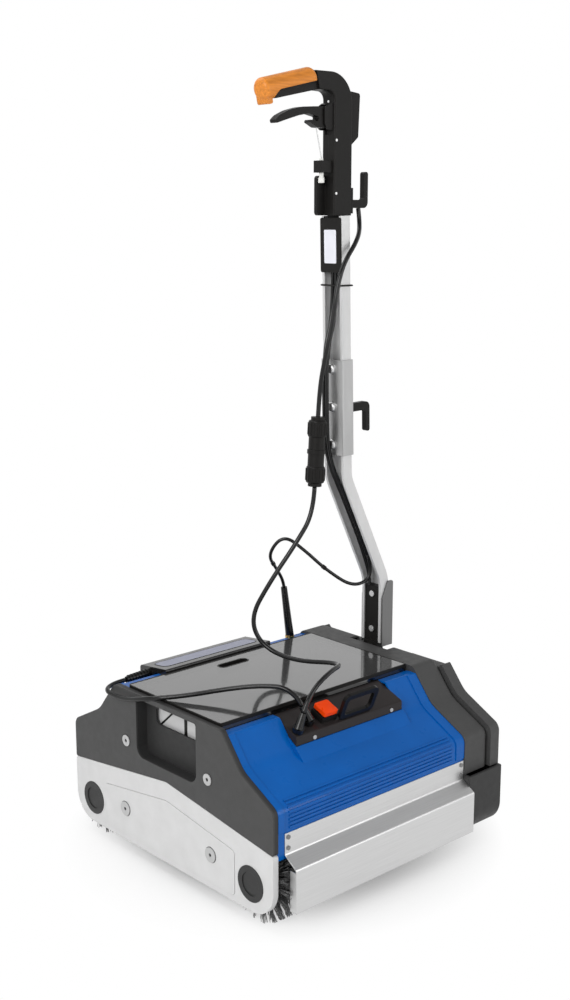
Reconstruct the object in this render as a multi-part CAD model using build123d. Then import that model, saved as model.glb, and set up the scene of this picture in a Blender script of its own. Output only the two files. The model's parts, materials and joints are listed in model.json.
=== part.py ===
from build123d import *
import math
import os

# Floor scrubber with two counter-rotating brushes and an upright handle on its drive side.
# X runs along the brushes towards the drive side, Y runs aft and Z is up, in millimetres.
# The origin lies on the floor under the middle of the whole outline.

# Whole machine
left_face_x = -229.5
right_face_x = 230.5
plate_half_length = 231.5
lid_front_y = -112.5
lid_rear_y = 101.5
lid_skirt = 3.0
tank_rim = 4.0
tank_rim_gap = 1.5
tank_inset = lid_skirt + tank_rim_gap + tank_rim
tank_front_y = lid_front_y + tank_inset
tank_rear_y = lid_rear_y - tank_inset
running_fit = 0.05
close_fit = 0.1
panel_gap = 0.6

# Length by which cutters overshoot and joined shapes overlap
overcut = 1.0

# Brushes
brush_axis_inset = 46.0
brush_axis_y = plate_half_length - brush_axis_inset
brush_axis_z = 60.0
floor_cut = 0.5
brush_tip_radius = brush_axis_z + floor_cut
brush_core_radius = 24.0
brush_left_x = -217.5
brush_right_x = 142.5
tuft_rows = 25
tufts_per_row = 9
tuft_root_side = 4.0
tuft_spread = 5.0
tuft_end_margin = 5.0
tuft_root_depth = 2.0
brush_stub_radius = 10.0
brush_end_play = 1.0

# Lifter drums beside the brushes
drum_spacing = 105.5
drum_axis_y = brush_axis_y - drum_spacing
drum_axis_z = 84.0
drum_radius = 46.0
drum_wall = 4.0
drum_stub_radius = 8.0
drum_vent_radius = 9.0
drum_vent_count = 6
drum_stub_inset = 0.5

# Left side plate and its cover
cap_proud = 1.0
plate_outer_x = left_face_x + cap_proud
plate_thickness = 9.0
plate_inner_x = plate_outer_x + plate_thickness
plate_bottom_z = 20.0
plate_end_z = 115.0
plate_peak_z = 146.0
plate_toe_radius = 42.0
plate_end_radius = 5.0
plate_peak_radius = 40.0
cover_bottom_z = 29.0
cover_end_z = 95.0
cover_peak_z = 117.5
cover_pocket = 2.4
cover_proud = 0.6
cover_gap = 0.4
cover_corner = 6.0
cover_peak_radius = 20.0
cap_radius = 25.9
cap_to_cover = 7.6
cover_half_length = brush_axis_y - cap_radius - cap_to_cover
cap_spigot_radius = 21.8
cap_spigot_length = 3.0
cap_dish_radius = 17.0
cap_dish_depth = 1.4
bearing_radius = 21.9
bearing_bore_radius = 22.0
drum_bearing_radius = 14.0
drum_bearing_width = 5.0

# Side screws
cover_screw_radius = 11.0
panel_screw_radius = 8.5
screw_head_height = 1.4
screw_socket_radius = 2.6
screw_shank_radius = 2.4
screw_shank_length = 6.0
screw_socket_depth = 1.1
cover_screw_inset = 51.0
cover_screw_y = cover_half_length - cover_screw_inset
cover_screw_z = 71.0
panel_screw_y = 95.5
panel_screw_z = 181.5

# Sloped shoulder line shared by the side panel, the hoods and the drive cover, front to back alike
shoulder_z = 177.3
lid_to_crest = 11.5
crest_y = lid_to_crest - lid_front_y
crest_to_waist = 39.5
waist_y = crest_y + crest_to_waist
waist_z = 213.0
crest_z = 262.0
shoulder_radius = 16.0
waist_radius = 45.0
crest_radius = 12.0

# Carry pocket in the side panel
pocket_half_width = 70.0
pocket_bottom_z = 165.0
pocket_top_z = 255.0
pocket_depth = 20.0
pocket_wall = 3.0
pocket_corner = 16.0
pocket_top_corner = 4.0
panel_toe_radius = 3.0
hand_half_width = 48.0
hand_bottom_z = 217.0
hand_top_z = 246.0
hand_corner = 9.0

# Inner plate on the drive side, with the boss that carries the handle pin
bulkhead_left_x = 148.5
bulkhead_right_x = 156.5
bulkhead_clear = 0.5
bulkhead_to_lid = 2.5
boss_right_x = 187.5
boss_half_width = 20.0
boss_root = 1.5
boss_bottom_z = 215.0
boss_top_z = 260.0

# Rails between the two side plates
rail_side = 12.0
rail_inset = 10.0
rail_front_y = tank_front_y + rail_inset
rail_rear_inset = 3.0
rail_rear_y = tank_rear_y - rail_rear_inset
rail_upper_z = 190.0
rail_lower_inset = 13.5
rail_lower_y = waist_y - rail_lower_inset
rail_lower_z = 150.0

# Hoods
hood_inset = 1.0
hood_face_y = plate_half_length - hood_inset
hood_wall = 3.0
hood_bottom_z = 106.0
front_crest_z = 254.5
rear_crest_z = 259.0
hood_crest_radius = 6.0
lid_gap = 1.0
front_edge_y = lid_gap - lid_front_y
rear_edge_y = lid_gap + lid_rear_y
hood_band_widths = (11.0, 18.0)
hood_band_proud = 1.6
hood_band_bottom_z = 146.0
hood_band_edge = 2.0
rib_count = 8
rib_start = 43.0
rib_pitch = 5.5
rib_height = 2.8
rib_proud = 1.5
rib_root = 1.0
rib_end_inset = 9.0
pedestal_side = 2.4
pedestal_back_inset = 4.0
pedestal_back_drop = 4.0
pedestal_toe = 0.5
pedestal_toe_radius = 3.0
pedestal_foot_y = 181.0
pedestal_root = 12.0
seat_overlap = 5.0
seat_height = 40.0

# Splash guards
guard_left_x = -208.0
guard_right_x = 156.0
guard_sheet = 1.5
guard_top_z = 142.5
guard_fold_z = 111.5
guard_drop_z = 97.0
guard_reach = 22.5
guard_bend_radius = 4.0
guard_bottom_z = 35.0
guard_tab_depth = 11.0
guard_tab_top_z = 94.0
rivet_head_radius = 3.2
rivet_head_height = 1.2
rivet_shank_radius = 1.6
rivet_end_inset = 6.0
rivet_rows_z = (121.0, 136.5)

# Tank, its lid and the recovery tray
tank_left_x = -201.5
tank_right_x = 144.5
tank_bottom_z = rail_upper_z + rail_side / 2
tank_wall = 3.0
tank_rim_height = 3.0
lid_left_x = -218.5
lid_right_x = 155.0
lid_top_z = 265.0
lid_sheet = 4.0
lid_skirt_z = 250.0
lid_corner = 5.0
lid_slot_x = -40.5
lid_slot_y = 71.5
lid_slot_length = 54.0
lid_slot_width = 14.0
tray_to_drum = 4.0
tray_half_width = drum_axis_y - drum_radius - tray_to_drum
tray_bottom_z = 36.0
tray_top_z = 98.0
tray_wall = 2.5
tray_lip_gap = 0.9
tray_lip_drop = 1.0
tray_lip_thickness = 2.0

# Control console on the front hood
console_left_x = -123.5
console_right_x = 91.5
console_length = 50.0
console_back_y = lid_front_y - lid_gap / 2
console_front_y = console_back_y - console_length
console_back_z = 254.5
console_front_z = 234.5
console_depth = 14.0
console_wall = 3.0
console_gap = 0.4
console_edge = 1.0
console_front_edge = 3.0
console_slope = math.degrees(math.atan2(console_back_z - console_front_z, console_back_y - console_front_y))
console_screw_xs = (-88.8, 68.4)
console_screw_z = 226.0
console_screw_radius = 3.0
console_screw_shank = 1.5

# Switch on the console
switch_x = -53.0
switch_back = 32.5
switch_length = 30.0
switch_width = 25.0
switch_height = 9.0
switch_pocket_length = 20.6
switch_pocket_width = 18.0
switch_pocket_floor = 2.0
rocker_side = 26.0
rocker_corner = 3.0
rocker_thickness = 6.0
rocker_lift = 11.2
rocker_stem_length = 20.0
rocker_stem_width = 14.0
rocker_stem_foot = 4.0
rocker_axis_height = 6.0
rocker_pin_radius = 2.0
rocker_pin_length = 26.0

# Hoop beside the switch
hoop_x = -4.7
hoop_back = 48.5
hoop_width = 69.0
hoop_height = 44.0
hoop_bar = 8.0
hoop_depth = 5.5
hoop_corner = 10.0

# Cord glands on the console
gland_nut_radius = 8.5
gland_nut_height = 8.0
gland_boot_root = 6.6
gland_boot_tip = 4.8
gland_boot_length = 20.0
gland_boot_sink = 3.0
handle_gland_inset = 41.0
handle_gland = (-113.5, console_back_y - handle_gland_inset)
handle_gland_lean = (0.42, 0.0, 0.91)
console_gland_inset = 33.0
console_gland = (-86.5, console_back_y - console_gland_inset)
console_gland_lean = (-0.25, 0.43, 0.87)

# Rear console and the ribbed boot at its end
rear_console_left_x = -146.5
rear_console_right_x = 65.5
rear_console_setback = 1.0
rear_console_front_y = rear_edge_y + rear_console_setback
rear_console_length = 66.5
rear_console_back_y = rear_console_front_y + rear_console_length
rear_console_top_z = 270.0
rear_console_fall = 8.0
rear_console_under_z = 248.5
rear_console_rest = 33.5
rear_console_step_y = rear_console_front_y + rear_console_rest
rear_console_step = 5.0
rear_console_radii = (1.0, 2.5, 5.0, 2.0, 0.0, 0.0)
boot_inset = 24.0
boot_y = rear_console_back_y - boot_inset
boot_z = 254.0
boot_tip_x = -190.5
boot_root_radius = 7.0
boot_tip_radius = 4.8
boot_rib_count = 7
boot_rib_proud = 1.3
boot_rib_width = 3.0

# Drive covers on the right
drive_outset = 2.0
drive_seam_z = 119.0
drive_seam_gap = 0.5
drive_wall = 3.0
drive_cover_right_x = 210.5
drive_window_inset = 14.0
drive_edge_radius = 10.0
drive_open_below = 20.0
outer_outset = 7.0
outer_corner_z = 258.0
outer_dip_y = 131.0
outer_dip_z = 252.0
outer_notch_y = 55.0
outer_notch_z = 238.0
outer_notch_flare = 6.0
outer_corner_radius = 3.0
outer_dip_radius = 4.0
outer_wall = 4.0
inner_way_half_width = 150.0
inner_way_top_z = 205.0
foot_overhang = 13.5
foot_half_length = plate_half_length + foot_overhang
foot_bottom_z = 20.0
foot_toe_radius = 38.0
foot_wall = 4.0
foot_top_radius = 2.0
foot_open_above = 9.0
foot_sill = 4.0
foot_window_inset = 27.0
foot_window_half_width = foot_half_length - foot_window_inset

# Motor, gears, pulleys and belts
motor_axis_z = 150.0
motor_radius = 42.0
motor_left_x = -69.5
motor_bore_radius = 31.0
motor_end_wall = 6.0
rotor_radius = 29.5
rotor_left_x = -45.5
rotor_right_x = 114.5
motor_shaft_radius = 8.0
motor_shaft_right_x = 197.5
shaft_window_radius = 9.0
gear_teeth = 20
gear_pitch_radius = 20.0
gear_tip_radius = 21.4
gear_root_radius = 17.4
gear_root_share = 0.60
gear_tip_share = 0.26
gear_left_x = 182.5
gear_right_x = 194.5
layshaft_proud = 2.0
layshaft_angle = -30.0
pulley_left_x = 164.5
pulley_right_x = 180.5
pulley_rim = 1.5
pulley_rim_height = 4.0
motor_pulley_radius = 14.0
brush_pulley_radius = 30.0
brush_stub_right_x = 184.5
belt_clear = 0.3
belt_thickness = 2.5
belt_width = 12.0

# Handle pivot
pivot_z = 250.0
pivot_pin_radius = 8.0
pivot_pin_left_x = 162.5
pivot_head_radius = 12.0
pivot_head_length = 2.4
hub_left_x = 188.5
hub_right_x = 206.5
hub_radius = 15.0
hub_side_gap = 0.4
hub_neck_root = 0.5
handle_slot_left_x = 186.5
handle_slot_right_x = 218.5
handle_slot_half_width = 42.0
handle_slot_bottom_z = 228.0

# Pole
pole_width = 41.0
pole_depth = 18.0
pole_wall = 2.5
pole_lip = 4.5
pole_lower_x = 192.5
pole_upper_x = 106.0
pole_lean = 1.44
pole_bottom_z = 268.0
pole_lower_knee_z = 371.0
pole_upper_knee_z = 547.0
pole_knee_radius = 60.0
pole_joint_z = 690.0
pole_joint_gap = 0.4
pole_top_z = 944.5
nest_gap = 0.2

# Bracket and lug at the foot of the pole
bracket_sheet = 2.5
bracket_front_x = 194.5
bracket_back_gap = 5.5
bracket_bottom_z = 262.0
bracket_chamfer_z = 343.0
bracket_top_z = 370.0
bracket_top_depth = 12.0
bracket_corner = 4.0
bracket_chamfer_radius = 3.0
bracket_web_top_z = 345.0
lug_front_x = 195.2
lug_half_width = 17.8
lug_top_z = 360.0
lug_neck_left_x = 190.5
lug_neck_half_width = 14.0
lug_screw_zs = (288.0, 347.0)
lug_screw_head_radius = 5.0
lug_screw_head_height = 2.5
lug_screw_radius = 2.5

# Splice over the pole joint
splice_bottom_z = 586.0
splice_top_z = 732.0
splice_edge_radius = 2.0
splice_bolt_zs = (602.0, 660.0, 718.0)
splice_bolt_head_radius = 8.0
splice_bolt_head_height = 5.0
splice_bolt_dome = 3.5
splice_bolt_radius = 3.0

# Cord hooks
hook_half_width = 4.5
lower_hook_plate = 3.5
lower_hook_plate_half_width = 14.0
lower_hook_bottom_z = 590.0
lower_hook_top_z = 728.0
lower_hook_arm_z = (648.0, 661.0)
lower_hook_tip_x = 180.5
lower_hook_tip_z = 614.0
upper_hook_plate = 3.5
upper_hook_plate_half_width = 12.0
upper_hook_bottom_z = 948.0
upper_hook_top_z = 985.0
upper_hook_arm_z = (956.0, 968.0)
upper_hook_tip_x = 168.0
upper_hook_tip_z = 1009.0
hook_finger = 8.0
hook_bend_radius = 9.0
hook_tip_radius = 3.9
hook_inner_radius = 4.0

# Label plate on the pole, left bare
label_thickness = 3.0
label_half_width = 21.0
label_bottom_z = 862.0
label_top_z = 942.0
label_corner = 3.0

# Handle head
head_front_x = 89.0
head_back_x = 125.5
head_half_width = 13.0
head_bottom_z = 945.0
head_corner_z = 1147.5
head_elbow_radius = 42.0
head_throat_z = 1120.0
head_throat_radius = 12.0
head_edge_radius = 2.5
spigot_front_x = 100.3
spigot_back_x = 110.9
spigot_bottom_z = 900.0
cheek_front_x = 73.0
cheek_inner_y = 7.0
cheek_top_z = 1002.0
cheek_root = 4.0
cheek_corner = 5.0
adjuster_front_x = 67.0
adjuster_half_width = 8.0
adjuster_bottom_z = 1006.0
adjuster_top_z = 1023.0
box_half_width = 10.0
box_corners = (
    (124.5, 1045.0, 0.0), (140.5, 1058.0, 5.0), (143.5, 1120.0, 4.0), (124.5, 1122.0, 0.0),
)
ear_half_width = 9.5
ear_corners = (
    (92.5, 1066.0, 0.0), (79.0, 1066.0, 5.0), (72.5, 1074.0, 6.0), (72.0, 1096.5, 4.0), (84.0, 1104.0, 3.0),
    (92.5, 1104.0, 0.0),
)
lever_pocket_x = (54.5, 91.0)
lever_pocket_z = (1060.0, 1101.5)
lever_pocket_half_width = 7.0
head_screw_points = ((92.5, 1052.0), (92.5, 976.5))
head_screw_radius = 2.0
head_screw_height = 0.8
head_screw_shank = 1.0
head_screw_reach = 21.0
stop_screw_z = 1106.3
stop_screw_reach = 8.0
head_split_reach = 400.0

# Grip
grip_root = (54.6, 1137.0)
grip_tip = (-34.5, 1116.5)
tongue_radius = 12.0
tongue_root = 1.0
arm_gap = 0.4
arm_top = 10.0
arm_under = 16.5
arm_round_margin = 3.0
keel_half_width = 9.5
keel_tip_under = 15.0
keel_gap = 1.0
grip_radius = 16.0
grip_split = 4.0
grip_cap_length = 10.0
grip_cap_round = 7.0
grip_root_round = 8.0
grip_skirt_length = 1.0
grip_skirt_flare = 8.0
grip_skirt_radius = 12.0
grip_lip = 4.5
grip_lip_inset = 1.5
grip_lip_reach = 8.5
grip_lip_half_width = 11.0
grip_lip_radius = 3.0

# Trigger lever and cable adjuster
lever_pivot = (80.5, 1091.0)
lever_half_width = 6.5
lever_pin_radius = 3.0
lever_pin_inset = 1.0
lever_corners = (
    (-20.5, 1075.5, 3.0), (-12.0, 1082.5, 14.0), (5.0, 1090.0, 60.0), (28.0, 1095.6, 60.0),
    (52.0, 1097.4, 60.0), (84.5, 1099.5, 4.0), (88.5, 1090.0, 4.0), (87.5, 1079.0, 6.0),
    (78.5, 1068.5, 4.0), (60.5, 1068.8, 8.0), (46.0, 1075.5, 1.0), (47.8, 1079.0, 1.0),
    (60.5, 1076.8, 3.0), (64.5, 1083.5, 2.0), (44.0, 1087.2, 20.0), (24.0, 1083.6, 60.0),
    (1.0, 1077.0, 40.0), (-18.0, 1071.2, 2.0),
)
adjuster_x = 75.0
barrel_radius = 4.5
barrel_bottom_z = 991.5
barrel_neck_radius = 3.4
barrel_neck_z = 999.0
barrel_stem_radius = 3.0
barrel_stem_top_z = 1026.0

# Water valve under the rear hood
valve_x = 124.5
valve_setback = 18.8
valve_y = rear_edge_y + valve_setback
valve_radius = 6.5
valve_bottom_z = 205.0
valve_neck_radius = 5.5
valve_neck_drop = 8.0
valve_nut_radius = 7.6
valve_nut_height = 4.0
valve_bore_top_z = 246.0
stem_radius = 3.2
stem_bottom_z = 208.0
stem_top_z = 239.0
valve_boot_top = (111.5, valve_y, 348.0)
valve_boot_root = 7.0
valve_boot_tip = 5.2
valve_boot_sink = 4.0

# Cords
cord_diameter = 7.0
cable_diameter = 5.5
cable_setback = 9.0
cable_leave_z = 800.0
cable_front_run = ((12.0, 748.0), (13.5, 660.0), (12.0, 584.0))
cable_entry_z = 515.0
second_cable_y = 7.0
second_cable_turn_z = 385.0
bend_share = 0.45
connector_top = (59.5, -12.0, 650.0)
connector_bottom = (53.0, -12.0, 545.0)
connector_body_radius = 12.5
connector_nut_radius = 14.0
connector_nut_length = 26.0
connector_nut_inset = 5.0
connector_nut_edge = 3.0
connector_body_inset = 8.0
connector_band_half_length = 3.0
connector_neck_radius = 10.5
connector_ribs = 14
connector_rib_radius = 1.2
connector_rib_inset = 4.0
connector_lead = 42.0
handle_cord_upper_route = (
    (152.0, 0.0, 956.0), (155.0, -2.0, 930.0), (124.0, -27.0, 909.0), (88.0, -34.0, 876.0),
    (74.0, -35.0, 838.0), (70.0, -32.0, 795.0), (60.0, -26.0, 740.0),
)
handle_cord_lower_route = (
    (18.5, -9.0, 462.0), (-15.5, 12.0, 404.0),
    (-39.5, 32.0, 347.0), (-27.5, 20.0, 303.0), (-11.5, -35.0, 288.0), (4.5, -127.0, 305.0),
    (-44.5, -147.0, 308.0),
)
console_cord_route = (
    (-123.5, -84.0, 290.0), (-155.5, -44.0, 281.0), (-197.5, -10.0, 272.5), (-233.5, 28.0, 266.5),
    (-238.0, 95.0, 248.0), (-238.0, boot_y, boot_z), (boot_tip_x, boot_y, boot_z),
)
gland_lead = 30.0
valve_cable_route = (
    (162.5, 9.0, 360.0), (124.5, 36.0, 392.0), (98.5, 57.0, 424.0), (74.5, 82.0, 450.0),
    (57.5, 101.0, 416.0), (91.0, 117.0, 384.0),
)
channel_exit_z = 414.0
channel_lead = 40.0
valve_lead = 12.0


# Shapes between planes


def ring_face(points, radii):
    """Flat face inside a closed outline, with one corner radius for each point."""
    if radii is None:
        return make_face(Polyline(*points, close=True))
    return make_face(FilletPolyline(*points, radius=radii, close=True))


def prism_x(points, x_start, x_end, radii=None):
    """Solid between two X planes from an outline of Y and Z values."""
    face = Plane.YZ.offset(x_start) * ring_face(points, radii)
    return extrude(face, amount=x_end - x_start, dir=(1, 0, 0))


def prism_y(points, y_start, y_end, radii=None):
    """Solid between two Y planes from an outline of X and Z values."""
    face = Plane((0, y_start, 0), x_dir=(1, 0, 0), z_dir=(0, -1, 0)) * ring_face(points, radii)
    return extrude(face, amount=y_end - y_start, dir=(0, 1, 0))


def block(x_range, y_range, z_range):
    """Box between pairs of limits."""
    size = [high - low for low, high in (x_range, y_range, z_range)]
    middle = [(low + high) / 2 for low, high in (x_range, y_range, z_range)]
    return Pos(*middle) * Box(*size)


def rod(start, end, radius, end_radius=None):
    """Round bar or cone between two points."""
    axis = Vector(*end) - Vector(*start)
    place = Plane(origin=start, z_dir=axis)
    upright = (Align.CENTER, Align.CENTER, Align.MIN)
    if end_radius is None:
        return place * Cylinder(radius, axis.length, align=upright)
    return place * Cone(radius, end_radius, axis.length, align=upright)


def rod_x(x_start, x_end, radius, y, z):
    """Round bar along X."""
    return rod((x_start, y, z), (x_end, y, z), radius)


def rod_y(y_start, y_end, radius, x, z):
    """Round bar along Y."""
    return rod((x, y_start, z), (x, y_end, z), radius)


def rod_z(z_start, z_end, radius, x, y):
    """Round bar along Z."""
    return rod((x, y, z_start), (x, y, z_end), radius)


def parallel_path(points, distance):
    """Path beside a flat path, to the right of its direction for positive distances."""
    moved = []
    for index, (a, b) in enumerate(points):
        normals = []
        for first, second in ((index - 1, index), (index, index + 1)):
            if first >= 0 and second < len(points):
                da = points[second][0] - points[first][0]
                db = points[second][1] - points[first][1]
                length = math.hypot(da, db)
                normals.append((db / length, -da / length))
        na = sum(n[0] for n in normals) / len(normals)
        nb = sum(n[1] for n in normals) / len(normals)
        scale = distance / (na * na + nb * nb)
        moved.append((a + na * scale, b + nb * scale))
    return moved


def both_sides(points):
    """Closed outline from one half, mirrored front to back."""
    return list(points) + [(-a, b) for a, b in reversed(points)]


def flip_y(points, side):
    """Outline with its Y values on the front (-1) or back (1) side."""
    return [(side * a, b) for a, b in points]


def parallel_radii(points, radii, distance):
    """Corner radii of a path beside a flat path: larger outside each turn and smaller inside it."""
    moved = [radii[0]]
    for before, here, after, radius in zip(points, points[1:], points[2:], radii[1:]):
        first = (here[0] - before[0], here[1] - before[1])
        second = (after[0] - here[0], after[1] - here[1])
        left_turn = first[0] * second[1] - first[1] * second[0]
        moved.append(radius + math.copysign(distance, left_turn))
    return moved + [radii[-1]]


def peaked_outline(half, bottom, end, peak):
    """Outline with upright ends and a low middle peak."""
    return [(half, bottom), (half, end), (0, peak), (-half, end), (-half, bottom)]


def cornered_prism_y(corners, half_width):
    """Solid about the middle plane from corners that each give X, Z and a radius."""
    points = [(x, z) for x, z, radius in corners]
    return prism_y(points, -half_width, half_width, [radius for x, z, radius in corners])


# Shoulder lines


def slope_y(z):
    """Y of the steep upper slope at a height."""
    return crest_y + (crest_z - z) * (waist_y - crest_y) / (crest_z - waist_z)


def shoulder_path(bottom_z, top_z, outset):
    """Half outline from the bottom of the face, over shoulder and waist, to the crest."""
    base = [
        (plate_half_length, bottom_z),
        (plate_half_length, shoulder_z),
        (waist_y, waist_z),
        (slope_y(top_z), top_z),
    ]
    moved = parallel_path(base, outset)
    run = (top_z - moved[2][1]) * (waist_y - crest_y) / (crest_z - waist_z)
    crest = (moved[2][0] - run, top_z)
    return [(moved[0][0], bottom_z), moved[1], moved[2], crest]


def lower_slope_z(y):
    """Height of the shallow lower slope at a distance from the middle."""
    return shoulder_z + (plate_half_length - y) * (waist_z - shoulder_z) / (plate_half_length - waist_y)


shoulder_radii = [0, shoulder_radius, waist_radius, crest_radius]
hood_radii = [0, shoulder_radius, waist_radius, hood_crest_radius, 0]
hood_inner_radii = [
    0,
    shoulder_radius - hood_wall,
    waist_radius + hood_wall,
    hood_crest_radius - hood_wall,
    0,
]


# Left side


def left_side_plate():
    """Light plate that carries the brush ends."""
    outline = peaked_outline(plate_half_length, plate_bottom_z, plate_end_z, plate_peak_z)
    radii = [plate_toe_radius, plate_end_radius, plate_peak_radius, plate_end_radius, plate_toe_radius]
    plate = prism_x(outline, plate_outer_x, plate_inner_x, radii)
    pocket_points, pocket_radii = cover_outline(cover_gap)
    plate -= prism_x(pocket_points, plate_outer_x - overcut, plate_outer_x + cover_pocket, pocket_radii)
    through = (plate_outer_x - overcut, plate_inner_x + overcut)
    seat_x = plate_inner_x - drum_bearing_width
    seat_radius = drum_bearing_radius + close_fit
    for side in (-1, 1):
        plate -= rod_x(through[0], through[1], bearing_bore_radius, side * brush_axis_y, brush_axis_z)
        plate -= rod_x(seat_x, through[1], seat_radius, side * drum_axis_y, drum_axis_z)
        plate -= side_screw_hole(side * cover_screw_y, cover_screw_z, plate_outer_x - cover_proud)
    return plate


def cover_outline(gap):
    """Outline of the access cover, grown by a gap, and its corner radii."""
    half = cover_half_length + gap
    points = peaked_outline(half, cover_bottom_z - gap, cover_end_z + gap, cover_peak_z + gap)
    corner = cover_corner + gap
    return points, [corner, corner, cover_peak_radius + gap, corner, corner]


def left_access_cover():
    """Screwed cover set into the side plate."""
    points, radii = cover_outline(0)
    cover = prism_x(points, plate_outer_x - cover_proud, plate_outer_x + cover_pocket, radii)
    for side in (-1, 1):
        cover -= side_screw_hole(side * cover_screw_y, cover_screw_z, plate_outer_x - cover_proud)
    return cover


def left_upper_panel():
    """Dark side panel with the carry pocket."""
    half = [(plate_half_length, plate_end_z + panel_gap)] + shoulder_path(plate_end_z, crest_z, 0)[1:]
    outline = both_sides(half) + [(0, plate_peak_z + panel_gap)]
    radii = [panel_toe_radius, shoulder_radius, waist_radius, crest_radius]
    panel = prism_x(outline, plate_outer_x, plate_inner_x, radii + radii[::-1] + [plate_peak_radius])
    floor_x = plate_outer_x + pocket_depth
    wide = pocket_half_width + pocket_wall
    tub_z = (pocket_bottom_z - pocket_wall, pocket_top_z + pocket_wall)
    panel += block((plate_outer_x, floor_x + pocket_wall), (-wide, wide), tub_z)
    recess = rounded_window(pocket_half_width, pocket_bottom_z, pocket_top_z)
    recess_radii = [pocket_corner, pocket_top_corner, pocket_top_corner, pocket_corner]
    panel -= prism_x(recess, plate_outer_x - overcut, floor_x, recess_radii)
    hand = rounded_window(hand_half_width, hand_bottom_z, hand_top_z)
    panel -= prism_x(hand, floor_x - overcut, floor_x + pocket_wall + overcut, [hand_corner] * 4)
    for side in (-1, 1):
        panel -= side_screw_hole(side * panel_screw_y, panel_screw_z, plate_outer_x)
    return panel


def rounded_window(half_width, bottom, top):
    """Corner points of a window that is level and centred."""
    return [(half_width, bottom), (half_width, top), (-half_width, top), (-half_width, bottom)]


def side_screw_hole(y, z, face_x):
    """Hole for the shank of a side screw."""
    end_x = face_x + screw_shank_length + close_fit
    return rod_x(face_x - overcut, end_x, screw_shank_radius + close_fit, y, z)


def side_screw(y, z, face_x, head_radius):
    """Flat-headed screw seen from the left."""
    top_x = face_x - screw_head_height
    head = rod_x(top_x, face_x, head_radius, y, z)
    shank = rod_x(face_x, face_x + screw_shank_length, screw_shank_radius, y, z)
    return head + shank - rod_x(top_x - overcut, top_x + screw_socket_depth, screw_socket_radius, y, z)


def brush_end_caps():
    """Two plugs over the brush bearings."""
    caps = []
    for side in (-1, 1):
        y = side * brush_axis_y
        cap = rod_x(left_face_x, plate_outer_x, cap_radius, y, brush_axis_z)
        cap += rod_x(plate_outer_x, plate_outer_x + cap_spigot_length, cap_spigot_radius, y, brush_axis_z)
        cap -= rod_x(left_face_x - overcut, left_face_x + cap_dish_depth, cap_dish_radius, y, brush_axis_z)
        caps.append(cap)
    return Compound(caps)


def body_screws():
    """Screws of the side cover, the side panel and the console."""
    screws = []
    for side in (-1, 1):
        cover_x = plate_outer_x - cover_proud
        screws.append(side_screw(side * cover_screw_y, cover_screw_z, cover_x, cover_screw_radius))
        screws.append(side_screw(side * panel_screw_y, panel_screw_z, plate_outer_x, panel_screw_radius))
    face_y = console_front_y
    for x in console_screw_xs:
        head = rod_y(face_y - screw_head_height, face_y, console_screw_radius, x, console_screw_z)
        shank = rod_y(face_y, face_y + console_wall, console_screw_shank, x, console_screw_z)
        screws.append(head + shank)
    return Compound(screws)


# Frame inside the hoods


def right_bulkhead():
    """Inner plate with bearing seats and the boss of the handle pin."""
    inset = hood_inset + hood_wall + bulkhead_clear
    top_z = lid_skirt_z - bulkhead_to_lid
    half = shoulder_path(plate_bottom_z, top_z, -inset)
    radii = [plate_toe_radius, shoulder_radius, waist_radius, crest_radius]
    plate = prism_x(both_sides(half), bulkhead_left_x, bulkhead_right_x, radii + radii[::-1])
    boss_x = (bulkhead_right_x - boss_root, boss_right_x)
    plate += block(boss_x, (-boss_half_width, boss_half_width), (boss_bottom_z, boss_top_z))
    through = (bulkhead_left_x - overcut, bulkhead_right_x + overcut)
    seat_end_x = bulkhead_left_x + drum_bearing_width
    seat_radius = drum_bearing_radius + close_fit
    for side in (-1, 1):
        plate -= rod_x(through[0], through[1], bearing_bore_radius, side * brush_axis_y, brush_axis_z)
        plate -= rod_x(through[0], seat_end_x, seat_radius, side * drum_axis_y, drum_axis_z)
    plate -= rod_x(through[0], through[1], shaft_window_radius, 0, motor_axis_z)
    lay_y, lay_z = layshaft_place()
    plate -= rod_x(through[0], through[1], motor_shaft_radius + running_fit, lay_y, lay_z)
    return plate - rod_x(pivot_pin_left_x, boss_right_x + overcut, pivot_pin_radius + running_fit, 0, pivot_z)


def tie_rails():
    """Four square bars from plate to plate."""
    half = rail_side / 2
    places = [(rail_front_y, rail_upper_z), (rail_rear_y, rail_upper_z)]
    places += [(-rail_lower_y, rail_lower_z), (rail_lower_y, rail_lower_z)]
    rails = []
    for y, z in places:
        rails.append(block((plate_inner_x, bulkhead_left_x), (y - half, y + half), (z - half, z + half)))
    return Compound(rails)


def shaft_bearings():
    """Plain bearings of the brushes and the drums at both ends."""
    seats = []
    for side in (-1, 1):
        brush = (side * brush_axis_y, brush_axis_z, bearing_radius, brush_stub_radius)
        drum = (side * drum_axis_y, drum_axis_z, drum_bearing_radius, drum_stub_radius)
        seats.append((plate_outer_x + cap_spigot_length, plate_inner_x) + brush)
        seats.append((bulkhead_left_x, bulkhead_right_x) + brush)
        seats.append((plate_inner_x - drum_bearing_width, plate_inner_x) + drum)
        seats.append((bulkhead_left_x, bulkhead_left_x + drum_bearing_width) + drum)
    bearings = []
    for x_start, x_end, y, z, outer, inner in seats:
        ring = rod_x(x_start, x_end, outer, y, z)
        bearings.append(ring - rod_x(x_start - overcut, x_end + overcut, inner + running_fit, y, z))
    return Compound(bearings)


# Hoods and splash guards


def hood_path(side, outset):
    """Half outline of the front (-1) or back (1) hood: face, slopes, crest and the edge beside the lid."""
    top_z = (front_crest_z if side < 0 else rear_crest_z) + outset
    edge_y = front_edge_y if side < 0 else rear_edge_y
    return shoulder_path(hood_bottom_z, top_z, outset - hood_inset) + [(edge_y, top_z)]


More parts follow.
